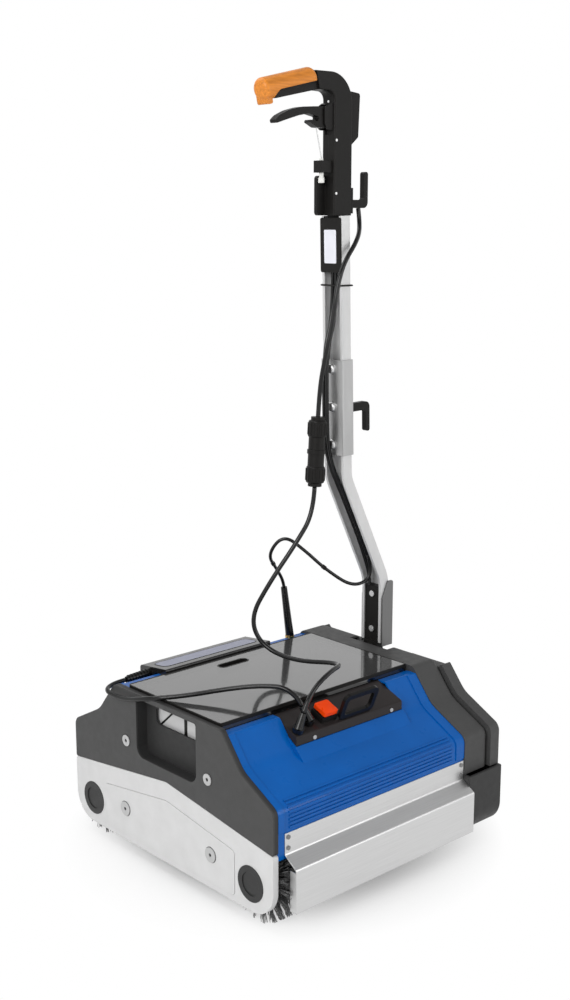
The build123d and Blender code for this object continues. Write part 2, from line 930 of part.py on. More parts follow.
def hood_shell(side):
    """Bent shell with raised ends and level ribs."""
    sheet = flip_y(hood_path(side, 0) + hood_path(side, -hood_wall)[::-1], side)
    shell = prism_x(sheet, plate_inner_x, bulkhead_right_x, hood_radii + hood_inner_radii[::-1])
    left_x = plate_inner_x + hood_band_widths[0]
    right_x = bulkhead_right_x - hood_band_widths[1]
    shell += hood_band(side, plate_inner_x, left_x) + hood_band(side, right_x, bulkhead_right_x)
    for outline in rib_outlines(side):
        shell += prism_x(outline, left_x + rib_end_inset, right_x - rib_end_inset)
    hole_y = sorted((side * (hood_face_y - 2 * hood_wall), side * (hood_face_y + hood_wall)))
    for x, z in rivet_places():
        shell -= rod_y(hole_y[0], hole_y[1], rivet_shank_radius + close_fit, x, z)
    return shell


def hood_band(side, x_start, x_end):
    """Raised band at one end of a hood."""
    band = hood_path(side, hood_band_proud)[:-1]
    core = hood_path(side, -hood_wall / 2)[:-1]
    for path in (band, core):
        path[0] = (path[0][0], hood_band_bottom_z)
    radii = hood_radii[:3] + [hood_band_edge, 0] + hood_radii[2::-1]
    return prism_x(flip_y(band + core[::-1], side), x_start, x_end, radii)


def rib_outlines(side):
    """Sections of the ribs, evenly spaced along the bent face."""
    face = FilletPolyline(*hood_path(side, 0), radius=hood_radii[1:-1])
    outlines = []
    for index in range(rib_count):
        share = (rib_start + index * rib_pitch) / face.length
        middle = face @ share
        along = face % share
        out = Vector(along.Y, -along.X)
        half = along * (rib_height / 2)
        root = middle - out * rib_root
        top = middle + out * rib_proud
        corners = (root - half, top - half, top + half, root + half)
        outlines.append(flip_y([(corner.X, corner.Y) for corner in corners], side))
    return outlines


def console_outline(gap):
    """Side outline of the console box, grown by a gap."""
    return [
        (console_back_y + gap, console_back_z + gap),
        (console_front_y - gap, console_front_z + gap),
        (console_front_y - gap, console_front_z - console_depth - gap),
        (console_back_y + gap, console_back_z - console_depth - gap),
    ]


def pedestal():
    """Raised seat of the hood under the console."""
    back_y = console_back_y - pedestal_back_inset
    foot_z = lower_slope_z(pedestal_foot_y)
    points = [
        (back_y, console_back_z - pedestal_back_drop),
        (console_front_y - pedestal_toe, console_front_z - console_depth + pedestal_toe),
        (-pedestal_foot_y, foot_z - hood_inset),
        (-pedestal_foot_y, foot_z - pedestal_root),
        (back_y, foot_z - pedestal_root),
    ]
    x_range = (console_left_x - pedestal_side, console_right_x + pedestal_side)
    return prism_x(points, x_range[0], x_range[1], [0, pedestal_toe_radius, 0, 0, 0])


def front_hood():
    """Blue hood with the seat of the console."""
    space = flip_y(hood_path(-1, -hood_wall) + [(front_edge_y, hood_bottom_z)], -1)
    hollow = prism_x(space, plate_inner_x, bulkhead_right_x, hood_inner_radii + [0])
    hood = hood_shell(-1) + (pedestal() - hollow)
    seat = console_outline(console_gap)
    seat[0] = (seat[0][0] + seat_overlap, console_back_z + seat_height)
    seat[1] = (seat[1][0], console_back_z + seat_height)
    seat[3] = (seat[3][0] + seat_overlap, seat[3][1])
    return hood - prism_x(seat, console_left_x - console_gap, console_right_x + console_gap)


def rear_hood():
    """Blue hood at the back, bored for the valve neck."""
    hole = valve_neck_radius + close_fit
    return hood_shell(1) - rod_z(rear_crest_z - 2 * hood_wall, rear_crest_z + overcut, hole, valve_x, valve_y)


def splash_guard(side):
    """Bent sheet before a brush, with small returns at its ends."""
    inner = [
        (hood_face_y, guard_top_z),
        (hood_face_y, guard_fold_z),
        (hood_face_y + guard_reach, guard_drop_z),
        (hood_face_y + guard_reach, guard_bottom_z),
    ]
    outer = parallel_path(inner, -guard_sheet)
    sheet = flip_y(inner + outer[::-1], side)
    bends = [0, guard_bend_radius, guard_bend_radius, 0]
    guard = prism_x(sheet, guard_left_x, guard_right_x, bends + bends)
    reach = hood_face_y + guard_reach
    tab_y = sorted((side * (reach - guard_tab_depth), side * (reach + guard_sheet / 2)))
    for x_start in (guard_left_x, guard_right_x - guard_sheet):
        guard += block((x_start, x_start + guard_sheet), tab_y, (guard_bottom_z, guard_tab_top_z))
    for x, z in rivet_places():
        hole_y = sorted((side * (hood_face_y - overcut), side * (hood_face_y + guard_sheet + overcut)))
        guard -= rod_y(hole_y[0], hole_y[1], rivet_shank_radius + close_fit, x, z)
    return guard


def rivet_places():
    """X and Z of the rivets of one guard."""
    ends = (guard_left_x + rivet_end_inset, guard_right_x - rivet_end_inset)
    return [(x, z) for x in ends for z in rivet_rows_z]


def guard_rivets():
    """Rivets that hold both guards to the hoods."""
    rivets = []
    for side in (-1, 1):
        face = side * (hood_face_y + guard_sheet)
        for x, z in rivet_places():
            head = rod_y(face, face + side * rivet_head_height, rivet_head_radius, x, z)
            rivets.append(head + rod_y(face, side * (hood_face_y - hood_wall), rivet_shank_radius, x, z))
    return Compound(rivets)


# Tank, lid and tray


def clean_water_tank():
    """Open tub on the upper rails, with a rim under the lid."""
    rim_z = lid_top_z - lid_sheet
    x_range = (tank_left_x, tank_right_x)
    y_range = (tank_front_y, tank_rear_y)
    tub = block(x_range, y_range, (tank_bottom_z, rim_z))
    rim_x = (tank_left_x - tank_rim, tank_right_x + tank_rim)
    rim_y = (tank_front_y - tank_rim, tank_rear_y + tank_rim)
    tub += block(rim_x, rim_y, (rim_z - tank_rim_height, rim_z))
    inner_x = (tank_left_x + tank_wall, tank_right_x - tank_wall)
    inner_y = (tank_front_y + tank_wall, tank_rear_y - tank_wall)
    return tub - block(inner_x, inner_y, (tank_bottom_z + tank_wall, rim_z + overcut))


def tank_lid():
    """Smoky lid with a skirt front and back and a finger slot."""
    rim_z = lid_top_z - lid_sheet
    corners = [
        (lid_left_x, lid_front_y),
        (lid_right_x, lid_front_y),
        (lid_right_x, lid_rear_y),
        (lid_left_x, lid_rear_y),
    ]
    face = Plane.XY.offset(lid_skirt_z) * ring_face(corners, [lid_corner] * 4)
    lid = extrude(face, amount=lid_top_z - lid_skirt_z, dir=(0, 0, 1))
    inner_y = (lid_front_y + lid_skirt, lid_rear_y - lid_skirt)
    lid -= block((lid_left_x - overcut, lid_right_x + overcut), inner_y, (lid_skirt_z - overcut, rim_z))
    slot = Pos(lid_slot_x, lid_slot_y, rim_z - overcut) * SlotOverall(lid_slot_length, lid_slot_width)
    return lid - extrude(slot, amount=lid_sheet + 2 * overcut, dir=(0, 0, 1))


def recovery_tray():
    """Trough between the drums, with a wiper lip towards each drum."""
    x_range = (plate_inner_x, bulkhead_left_x)
    tray = block(x_range, (-tray_half_width, tray_half_width), (tray_bottom_z, tray_top_z))
    drum_side = math.sqrt(drum_radius**2 - (tray_top_z - tray_lip_drop - drum_axis_z) ** 2)
    reach = drum_axis_y - drum_side - tray_lip_gap
    lip_z = (tray_top_z - tray_lip_thickness, tray_top_z)
    tray += block((brush_left_x, brush_right_x), (-reach, reach), lip_z)
    inner_y = tray_half_width - tray_wall
    inner_x = (plate_inner_x + tray_wall, bulkhead_left_x - tray_wall)
    return tray - block(inner_x, (-inner_y, inner_y), (tray_bottom_z + tray_wall, tray_top_z + overcut))


# Console with its switch, hoop and glands

console_top = Plane(
    origin=(0, console_back_y, console_back_z),
    x_dir=(1, 0, 0),
    z_dir=(0, -math.sin(math.radians(console_slope)), math.cos(math.radians(console_slope))),
)


def on_console(x, back, height):
    """Place on the console top: X, distance down the slope from its back edge, and height off it."""
    return console_top * Pos(x, -back, height)


def control_console():
    """Sloped box, open below, on the front hood."""
    radii = [console_edge, console_front_edge, console_edge, console_edge]
    box = prism_x(console_outline(0), console_left_x, console_right_x, radii)
    hollow = parallel_path(console_outline(0)[:3], -console_wall)
    points = [
        (console_back_y - console_wall, hollow[0][1] - overcut),
        hollow[1],
        (hollow[1][0], console_front_z - 3 * console_depth),
        (console_back_y - console_wall, console_front_z - 3 * console_depth),
    ]
    box -= prism_x(points, console_left_x + console_wall, console_right_x - console_wall)
    for x in console_screw_xs:
        hole_y = (console_front_y - overcut, console_front_y + console_wall + overcut)
        box -= rod_y(hole_y[0], hole_y[1], console_screw_shank + close_fit, x, console_screw_z)
    return box


def switch_base():
    """Square body under the rocker."""
    upright = (Align.CENTER, Align.CENTER, Align.MIN)
    place = on_console(switch_x, switch_back, 0)
    base = place * Box(switch_length, switch_width, switch_height, align=upright)
    well = on_console(switch_x, switch_back, switch_pocket_floor)
    base -= well * Box(switch_pocket_length, switch_pocket_width, switch_height, align=upright)
    return base - rocker_pin(rocker_pin_radius + running_fit, rocker_pin_length + overcut)


def rocker_pin(radius, length):
    """Pin along the tipping axis of the rocker."""
    return on_console(switch_x, switch_back, rocker_axis_height) * Rot(0, 90, 0) * Cylinder(radius, length)


def switch_rocker():
    """Orange key on a stem that tips in the switch body."""
    upright = (Align.CENTER, Align.CENTER, Align.MIN)
    stem_height = rocker_lift + 1 - rocker_stem_foot
    stem = on_console(switch_x, switch_back, rocker_stem_foot) * Box(
        rocker_stem_length, rocker_stem_width, stem_height, align=upright
    )
    key_face = on_console(switch_x, switch_back, rocker_lift) * RectangleRounded(
        rocker_side, rocker_side, rocker_corner
    )
    key = extrude(key_face, amount=rocker_thickness, dir=console_top.z_dir)
    return stem + key + rocker_pin(rocker_pin_radius, rocker_pin_length)


def switch_hoop():
    """Rounded loop that stands on the console."""
    middle = on_console(hoop_x, hoop_back - hoop_depth / 2, hoop_height / 2)
    turned = middle * Rot(90, 0, 0)
    loop = turned * (
        RectangleRounded(hoop_width, hoop_height, hoop_corner)
        - RectangleRounded(hoop_width - 2 * hoop_bar, hoop_height - 2 * hoop_bar, hoop_corner - hoop_bar / 2)
    )
    return extrude(loop, amount=hoop_depth, dir=-console_top.y_dir)


def gland_parts(place, lean):
    """Foot and mouth of a gland boot: where it leaves the nut and where the cord leaves it."""
    x, y = place
    back = (console_back_y - y) / math.cos(math.radians(console_slope))
    foot = (on_console(x, back, 0)).position
    root = (on_console(x, back, gland_nut_height)).position
    mouth = root + Vector(*lean).normalized() * gland_boot_length
    return foot, root, mouth


def gland(place, lean):
    """Nut on the console with a leaning boot."""
    foot, root, mouth = gland_parts(place, lean)
    nut = rod(foot, root, gland_nut_radius)
    inside = root - Vector(*lean).normalized() * gland_boot_sink
    boot_root = gland_boot_root + (gland_boot_root - gland_boot_tip) * gland_boot_sink / gland_boot_length
    return nut + rod(inside, mouth, boot_root, gland_boot_tip)


def console_glands():
    """The two cord glands at the left end of the console."""
    return Compound([gland(handle_gland, handle_gland_lean), gland(console_gland, console_gland_lean)])


def rear_console():
    """Low box on the crest of the rear hood."""
    points = [
        (rear_console_front_y, rear_crest_z),
        (rear_console_front_y, rear_console_top_z),
        (rear_console_back_y, rear_console_top_z - rear_console_fall),
        (rear_console_back_y, rear_console_under_z),
        (rear_console_step_y, rear_console_under_z),
        (rear_console_step_y - rear_console_step, rear_crest_z),
    ]
    return prism_x(points, rear_console_left_x, rear_console_right_x, list(rear_console_radii))


def console_cord_boot():
    """Ribbed boot of the console cord at the rear console."""
    boot = rod(
        (rear_console_left_x, boot_y, boot_z), (boot_tip_x, boot_y, boot_z), boot_root_radius, boot_tip_radius
    )
    length = rear_console_left_x - boot_tip_x
    pitch = length / (boot_rib_count + 1)
    for index in range(1, boot_rib_count + 1):
        x = rear_console_left_x - index * pitch
        radius = boot_root_radius - (boot_root_radius - boot_tip_radius) * index * pitch / length
        half = boot_rib_width / 2
        boot += rod_x(x - half, x + half, radius + boot_rib_proud, boot_y, boot_z)
    return boot


# Drive covers


def drive_cover():
    """Upper shell over the belts, slotted for the handle."""
    bottom = drive_seam_z + drive_seam_gap
    top = crest_z + drive_outset
    outer = shoulder_path(bottom, top, drive_outset)
    outer_radii = shoulder_radii + shoulder_radii[::-1]
    cover = prism_x(both_sides(outer), bulkhead_right_x, drive_cover_right_x, outer_radii)
    right_edges = cover.faces().sort_by(Axis.X)[-1].edges()
    rounded = [edge for edge in right_edges if edge.center().Z > bottom + overcut]
    cover = fillet(rounded, drive_edge_radius)
    below = bottom - drive_open_below
    inner = shoulder_path(below, top - drive_wall, drive_outset - drive_wall)
    inner_radii = [0, shoulder_radius, waist_radius, crest_radius - drive_wall]
    inner_ends = (bulkhead_right_x + drive_wall, drive_cover_right_x - drive_wall)
    cover -= prism_x(both_sides(inner), inner_ends[0], inner_ends[1], inner_radii + inner_radii[::-1])
    window = shoulder_path(below, top - drive_window_inset, drive_outset - drive_window_inset)
    cover -= prism_x(both_sides(window), bulkhead_right_x - overcut, inner_ends[0] + overcut)
    boss_y = boss_half_width + drive_seam_gap
    boss_z = (boss_bottom_z, boss_top_z + drive_seam_gap)
    cover -= block((bulkhead_right_x - overcut, inner_ends[0] + overcut), (-boss_y, boss_y), boss_z)
    way = inner_way_half_width
    way_x = (inner_ends[1] - overcut, drive_cover_right_x + overcut)
    cover -= block(way_x, (-way, way), (bottom - overcut, inner_way_top_z))
    slot_y = (-handle_slot_half_width, handle_slot_half_width)
    cover -= block((handle_slot_left_x, handle_slot_right_x), slot_y, (handle_slot_bottom_z, top + overcut))
    return cover


def drive_outer_cover():
    """Outer dish of the drive side, with a flat outer face."""
    bottom = drive_seam_z + drive_seam_gap
    path = shoulder_path(bottom, outer_corner_z, outer_outset)
    notch_floor_y = outer_notch_y - outer_notch_flare
    half = path + [(outer_dip_y, outer_dip_z), (outer_notch_y, outer_dip_z), (notch_floor_y, outer_notch_z)]
    radii = [0, shoulder_radius, waist_radius, outer_corner_radius] + [outer_dip_radius] * 3
    dish = prism_x(both_sides(half), drive_cover_right_x, right_face_x, radii + radii[::-1])
    way = inner_way_half_width
    inner_x = (drive_cover_right_x - overcut, right_face_x - outer_wall)
    return dish - block(inner_x, (-way, way), (bottom - overcut, inner_way_top_z))


def drive_foot():
    """Lower tub round the brush pulleys."""
    outline = rounded_window(foot_half_length, foot_bottom_z, drive_seam_z)
    radii = [foot_toe_radius, foot_top_radius, foot_top_radius, foot_toe_radius]
    foot = prism_x(outline, bulkhead_right_x, right_face_x, radii)
    floor_z = foot_bottom_z + foot_wall
    inner = rounded_window(foot_half_length - foot_wall, floor_z, drive_seam_z + foot_open_above)
    inner_toe = foot_toe_radius - foot_wall
    inner_x = (bulkhead_right_x + foot_wall, right_face_x - foot_wall)
    foot -= prism_x(inner, inner_x[0], inner_x[1], [inner_toe, 0, 0, inner_toe])
    window_x = (bulkhead_right_x - overcut, inner_x[0] + overcut)
    window_y = (-foot_window_half_width, foot_window_half_width)
    return foot - block(window_x, window_y, (floor_z + foot_sill, drive_seam_z + overcut))


# Drive


def layshaft_place():
    """Y and Z of the reversing shaft beside the motor shaft."""
    angle = math.radians(layshaft_angle)
    return 2 * gear_pitch_radius * math.cos(angle), motor_axis_z + 2 * gear_pitch_radius * math.sin(angle)


def gear(y, z, tooth_angle):
    """Spur gear with one tooth centred on an angle."""
    pitch = 360 / gear_teeth
    points = []
    for index in range(gear_teeth):
        middle = tooth_angle + index * pitch
        corners = (
            (gear_root_radius, -gear_root_share / 2),
            (gear_tip_radius, -gear_tip_share / 2),
            (gear_tip_radius, gear_tip_share / 2),
            (gear_root_radius, gear_root_share / 2),
        )
        for radius, share in corners:
            angle = math.radians(middle + share * pitch)
            points.append((y + radius * math.cos(angle), z + radius * math.sin(angle)))
    return prism_x(points, gear_left_x, gear_right_x)


def pulley(radius, y, z):
    """Flat belt pulley between two rims."""
    wheel = rod_x(pulley_left_x, pulley_right_x, radius, y, z)
    for x_start in (pulley_left_x, pulley_right_x - pulley_rim):
        wheel += rod_x(x_start, x_start + pulley_rim, radius + pulley_rim_height, y, z)
    return wheel


def motor_housing():
    """Round motor body bolted to the inner plate."""
    body = rod_x(motor_left_x, bulkhead_left_x, motor_radius, 0, motor_axis_z)
    inner = (motor_left_x + motor_end_wall, bulkhead_left_x - motor_end_wall)
    body -= rod_x(inner[0], inner[1], motor_bore_radius, 0, motor_axis_z)
    bore = motor_shaft_radius + running_fit
    return body - rod_x(motor_left_x - overcut, bulkhead_left_x + overcut, bore, 0, motor_axis_z)


def motor_rotor():
    """Rotor core on its shaft."""
    shaft = rod_x(motor_left_x + overcut, motor_shaft_right_x, motor_shaft_radius, 0, motor_axis_z)
    return shaft + rod_x(rotor_left_x, rotor_right_x, rotor_radius, 0, motor_axis_z)


def motor_pulley():
    """Belt pulley and pinion in one piece on the motor shaft."""
    wheel = pulley(motor_pulley_radius, 0, motor_axis_z)
    wheel += rod_x(pulley_right_x, gear_left_x, motor_pulley_radius, 0, motor_axis_z)
    wheel += gear(0, motor_axis_z, layshaft_angle)
    bore = motor_shaft_radius + running_fit
    return wheel - rod_x(pulley_left_x - overcut, gear_right_x + overcut, bore, 0, motor_axis_z)


def reversing_gear():
    """Gear, pulley and stub shaft that turn against the motor."""
    y, z = layshaft_place()
    wheel = pulley(motor_pulley_radius, y, z)
    wheel += rod_x(bulkhead_left_x + overcut, gear_right_x + layshaft_proud, motor_shaft_radius, y, z)
    wheel += rod_x(pulley_right_x, gear_left_x, motor_pulley_radius, y, z)
    return wheel + gear(y, z, layshaft_angle + 180 + 180 / gear_teeth)


def belt(first, first_radius, second, second_radius):
    """Closed flat belt round two pulleys."""
    loops = []
    for growth in (belt_clear + belt_thickness, belt_clear):
        rings = Sketch() + [
            Pos(*first) * Circle(first_radius + growth),
            Pos(*second) * Circle(second_radius + growth),
        ]
        loops.append(make_hull(rings.edges()))
    x_start = (pulley_left_x + pulley_right_x - belt_width) / 2
    return extrude(Plane.YZ.offset(x_start) * (loops[0] - loops[1]), amount=belt_width, dir=(1, 0, 0))


def drive_belts():
    """Belt from the motor to the front brush and belt from the reversing shaft to the rear brush."""
    front = belt((0, motor_axis_z), motor_pulley_radius, (-brush_axis_y, brush_axis_z), brush_pulley_radius)
    rear = belt(layshaft_place(), motor_pulley_radius, (brush_axis_y, brush_axis_z), brush_pulley_radius)
    return Compound([front, rear])


def brush_pulley(side):
    """Pulley on the drive end of a brush."""
    y = side * brush_axis_y
    wheel = pulley(brush_pulley_radius, y, brush_axis_z)
    bore = brush_stub_radius + running_fit
    return wheel - rod_x(pulley_left_x - overcut, pulley_right_x + overcut, bore, y, brush_axis_z)


def brush():
    """Front brush: core with end stubs and rows of bristle tufts, cut level with the floor."""
    y = -brush_axis_y
    core = rod_x(brush_left_x, brush_right_x, brush_core_radius, y, brush_axis_z)
    stub_left_x = plate_outer_x + cap_spigot_length + brush_end_play
    core += rod_x(stub_left_x, brush_stub_right_x, brush_stub_radius, y, brush_axis_z)
    length = brush_tip_radius - brush_core_radius + tuft_root_depth
    spread_angle = math.degrees(math.atan2(tuft_spread / 2, length))
    strand = extrude(Rectangle(tuft_root_side, tuft_root_side), amount=length, taper=-spread_angle)
    strand = Pos(0, 0, brush_core_radius - tuft_root_depth) * strand
    pitch = (brush_right_x - brush_left_x - 2 * tuft_end_margin) / (tuft_rows - 1)
    step = 360 / tufts_per_row
    tufts = []
    for row in range(tuft_rows):
        x = brush_left_x + tuft_end_margin + row * pitch
        for index in range(tufts_per_row):
            angle = 180 + index * step + (row % 2) * step / 2
            tufts.append(Pos(x, y, brush_axis_z) * Rot(angle, 0, 0) * strand)
    whole = core.fuse(*tufts)
    reach = 2 * brush_tip_radius
    ground = block((brush_left_x, brush_right_x), (y - reach, y + reach), (-reach, 0))
    return whole - ground


def drum(side):
    """Hollow lifter drum with open-webbed ends and stub shafts."""
    y = side * drum_axis_y
    shell = rod_x(brush_left_x, brush_right_x, drum_radius, y, drum_axis_z)
    inner = (brush_left_x + drum_wall, brush_right_x - drum_wall)
    shell -= rod_x(inner[0], inner[1], drum_radius - drum_wall, y, drum_axis_z)
    middle = (drum_radius - drum_wall + drum_stub_radius) / 2
    for index in range(drum_vent_count):
        angle = math.radians(index * 360 / drum_vent_count)
        vent_y = y + middle * math.cos(angle)
        vent_z = drum_axis_z + middle * math.sin(angle)
        shell -= rod_x(brush_left_x - overcut, brush_right_x + overcut, drum_vent_radius, vent_y, vent_z)
    reach = drum_bearing_width - drum_stub_inset
    return shell + rod_x(plate_inner_x - reach, bulkhead_left_x + reach, drum_stub_radius, y, drum_axis_z)


# Handle foot


def handle_pivot_pin():
    """Headed pin in the boss, on which the handle tilts."""
    head_x = hub_right_x + hub_side_gap
    pin = rod_x(pivot_pin_left_x, head_x + pivot_head_length, pivot_pin_radius, 0, pivot_z)
    return pin + rod_x(head_x, head_x + pivot_head_length, pivot_head_radius, 0, pivot_z)


def pivot_lug():
    """Black lug inside the pole foot, with the hub below it."""
    back_x = pole_lower_x + pole_depth - pole_wall - nest_gap
    lug = block((lug_front_x, back_x), (-lug_half_width, lug_half_width), (pole_bottom_z, lug_top_z))
    neck_y = (-lug_neck_half_width, lug_neck_half_width)
    lug += block((lug_neck_left_x, hub_right_x), neck_y, (pivot_z, pole_bottom_z + hub_neck_root))
    lug += rod_x(hub_left_x, hub_right_x, hub_radius, 0, pivot_z)
    lug -= rod_x(hub_left_x - overcut, hub_right_x + overcut, pivot_pin_radius + running_fit, 0, pivot_z)
    for z in lug_screw_zs:
        lug -= rod_x(lug_front_x - overcut, back_x + overcut, lug_screw_radius + close_fit, 0, z)
    return lug


def bracket_back_x():
    """X of the back of the bracket."""
    return pole_lower_x + pole_depth + bracket_back_gap + bracket_sheet


def handle_bracket():
    """Folded sheet round the pole foot, open to the left."""
    back_x = bracket_back_x()
    inner_y = pole_width / 2 + nest_gap
    side = [
        (bracket_front_x, bracket_bottom_z),
        (back_x, bracket_bottom_z),
        (back_x, bracket_top_z),
        (back_x - bracket_top_depth, bracket_top_z),
        (bracket_front_x, bracket_chamfer_z),
    ]
    outer_y = inner_y + bracket_sheet
    radii = [0, 0, bracket_corner, bracket_corner, bracket_chamfer_radius]
    bracket = prism_y(side, -outer_y, outer_y, radii)
    web_x = (back_x - bracket_sheet - overcut, back_x + overcut)
    open_x = (bracket_front_x - overcut, back_x - bracket_sheet)
    open_top_z = bracket_top_z + overcut
    bracket -= block(open_x, (-inner_y, inner_y), (bracket_bottom_z - overcut, open_top_z))
    bracket -= block(web_x, (-inner_y, inner_y), (bracket_web_top_z, open_top_z))
    for z in lug_screw_zs:
        bracket -= rod_x(web_x[0], web_x[1], lug_screw_radius + close_fit, 0, z)
    return bracket


# Pole


upper_knee = Pos(pole_upper_x, 0, pole_upper_knee_z)
upper_frame = upper_knee * Rot(0, -pole_lean, 0) * upper_knee.inverse()


def on_upper_pole(x, y, z):
    """Point of the upright upper pole after it leans about its knee."""
    return point((upper_frame * Pos(x, y, z)).position)


def channel(front_path, radii):
    """C-section bar with its open side along a path in X and Z and a lip turned in at each edge."""
    paths = {}
    bends = {}
    for distance in (-overcut, 0, pole_wall, pole_depth - pole_wall, pole_depth):
        paths[distance] = parallel_path(front_path, distance)
        bends[distance] = parallel_radii(front_path, radii, distance)

    def slab(front, back, half_width):
        outline = paths[front] + paths[back][::-1]
        return prism_y(outline, -half_width, half_width, bends[front] + bends[back][::-1])

    half = pole_width / 2
    bar = slab(0, pole_depth, half) - slab(pole_wall, pole_depth - pole_wall, half - pole_wall)
    return bar - slab(-overcut, pole_depth - pole_wall, half - pole_lip)


def lower_pole():
    """Bent lower half of the pole."""
    joint = on_upper_pole(pole_upper_x, 0, pole_joint_z)
    path = [
        (pole_lower_x, pole_bottom_z),
        (pole_lower_x, pole_lower_knee_z),
        (pole_upper_x, pole_upper_knee_z),
        (joint[0], joint[2]),
    ]
    pole = channel(path, [0, pole_knee_radius, pole_knee_radius, 0])
    for z in lug_screw_zs:
        pole -= pole_hole(pole_lower_x, z, lug_screw_radius)
    for z in splice_bolt_zs:
        pole -= upper_frame * pole_hole(pole_upper_x, z, splice_bolt_radius)
    return pole


def pole_hole(front_x, z, radius):
    """Hole for a bolt through the back of the pole."""
    back_x = front_x + pole_depth
    return rod_x(back_x - pole_wall - overcut, back_x + overcut, radius + close_fit, 0, z)


def upper_pole():
    """Straight upper half of the pole."""
    path = [(pole_upper_x, pole_joint_z + pole_joint_gap), (pole_upper_x, pole_top_z)]
    pole = channel(path, [0, 0])
    for z in splice_bolt_zs:
        pole -= pole_hole(pole_upper_x, z, splice_bolt_radius)
    return upper_frame * pole


def splice_faces():
    """X of the front and the back of the splice on the upright pole."""
    wrap = nest_gap + bracket_sheet
    return pole_upper_x - wrap, pole_upper_x + pole_depth + wrap


def pole_splice():
    """Sleeve round the joint of the two pole halves."""
    front_x, back_x = splice_faces()
    inner_y = pole_width / 2 + nest_gap
    outer_y = inner_y + bracket_sheet
    sleeve = block((front_x, back_x), (-outer_y, outer_y), (splice_bottom_z, splice_top_z))
    sleeve = fillet(sleeve.edges().filter_by(Axis.Z), splice_edge_radius)
    open_x = (front_x + bracket_sheet, back_x - bracket_sheet)
    sleeve -= block(open_x, (-inner_y, inner_y), (splice_bottom_z - overcut, splice_top_z + overcut))
    for z in splice_bolt_zs:
        sleeve -= rod_x(front_x - overcut, back_x + overcut, splice_bolt_radius + close_fit, 0, z)
    return upper_frame * sleeve


def lower_cable_hook():
    """Hook on a long plate behind the splice, pointing down."""
    face_x = splice_faces()[1]
    plate_x = (face_x, face_x + lower_hook_plate)
    plate_y = (-lower_hook_plate_half_width, lower_hook_plate_half_width)
    hook = block(plate_x, plate_y, (lower_hook_bottom_z, lower_hook_top_z))
    return upper_frame * (hook + hook_arm(plate_x[1], lower_hook_tip_x, lower_hook_arm_z, lower_hook_tip_z))


def hook_arm(root_x, tip_x, arm_z, tip_z):
    """Arm with a finger that turns up or down at its end."""
    near_z, far_z = sorted(arm_z, key=lambda z: abs(z - tip_z))
    finger_x = tip_x - hook_finger
    points = [
        (root_x - overcut, far_z),
        (tip_x, far_z),
        (tip_x, tip_z),
        (finger_x, tip_z),
        (finger_x, near_z),
        (root_x - overcut, near_z),
    ]
    radii = [0, hook_bend_radius, hook_tip_radius, hook_tip_radius, hook_inner_radius, 0]
    return prism_y(points, -hook_half_width, hook_half_width, radii)


def upper_cable_hook():
    """Hook behind the handle head, pointing up."""
    plate_x = (head_back_x, head_back_x + upper_hook_plate)
    plate_y = (-upper_hook_plate_half_width, upper_hook_plate_half_width)
    hook = block(plate_x, plate_y, (upper_hook_bottom_z, upper_hook_top_z))
    return hook + hook_arm(plate_x[1], upper_hook_tip_x, upper_hook_arm_z, upper_hook_tip_z)


def cable_hooks():
    """Both hooks for the mains cord."""
    return Compound([lower_cable_hook(), upper_cable_hook()])


def label_plate():
    """Bare plate across the open side of the pole."""
    points = rounded_window(label_half_width, label_bottom_z, label_top_z)
    return upper_frame * prism_x(points, pole_upper_x - label_thickness, pole_upper_x, [label_corner] * 4)


# Handle head


def grip_place(along, up):
    """X and Z at a distance along the grip from its root, and off its axis."""
    dx = grip_tip[0] - grip_root[0]
    dz = grip_tip[1] - grip_root[1]
    length = math.hypot(dx, dz)
    ux, uz = dx / length, dz / length
    return grip_root[0] + along * ux + up * uz, grip_root[1] + along * uz - up * ux


def grip_length():
    """Length of the grip axis."""
    return math.hypot(grip_tip[0] - grip_root[0], grip_tip[1] - grip_root[1])


def grip_rod(start, end, radius):
    """Round bar along the grip axis."""
    ax, az = grip_place(start, 0)
    bx, bz = grip_place(end, 0)
    return rod((ax, 0, az), (bx, 0, bz), radius)


def head_profile():
    """Side outline of the column and the arm of the head, and its corner radii."""
    profile = [
        (head_front_x, head_bottom_z),
        (head_back_x, head_bottom_z),
        (head_back_x, head_corner_z),
        grip_place(-arm_gap, arm_top),
        grip_place(-arm_gap, -arm_under),
        (head_front_x, head_throat_z),
    ]
    return profile, [0, 0, head_elbow_radius, 0, 0, head_throat_radius]


def head_column():
    """Column and arm of the head with rounded edges."""
    half = head_half_width
    profile, radii = head_profile()
    column = prism_y(profile, -half, half, radii)
    first_x = grip_place(-arm_gap, -arm_under)[0] + arm_round_margin
    side_edges = column.faces().sort_by(Axis.Y)[0].edges() + column.faces().sort_by(Axis.Y)[-1].edges()
    rounded = [e for e in side_edges if e.center().Z > head_bottom_z + overcut and e.center().X > first_x]
    return fillet(rounded, head_edge_radius)


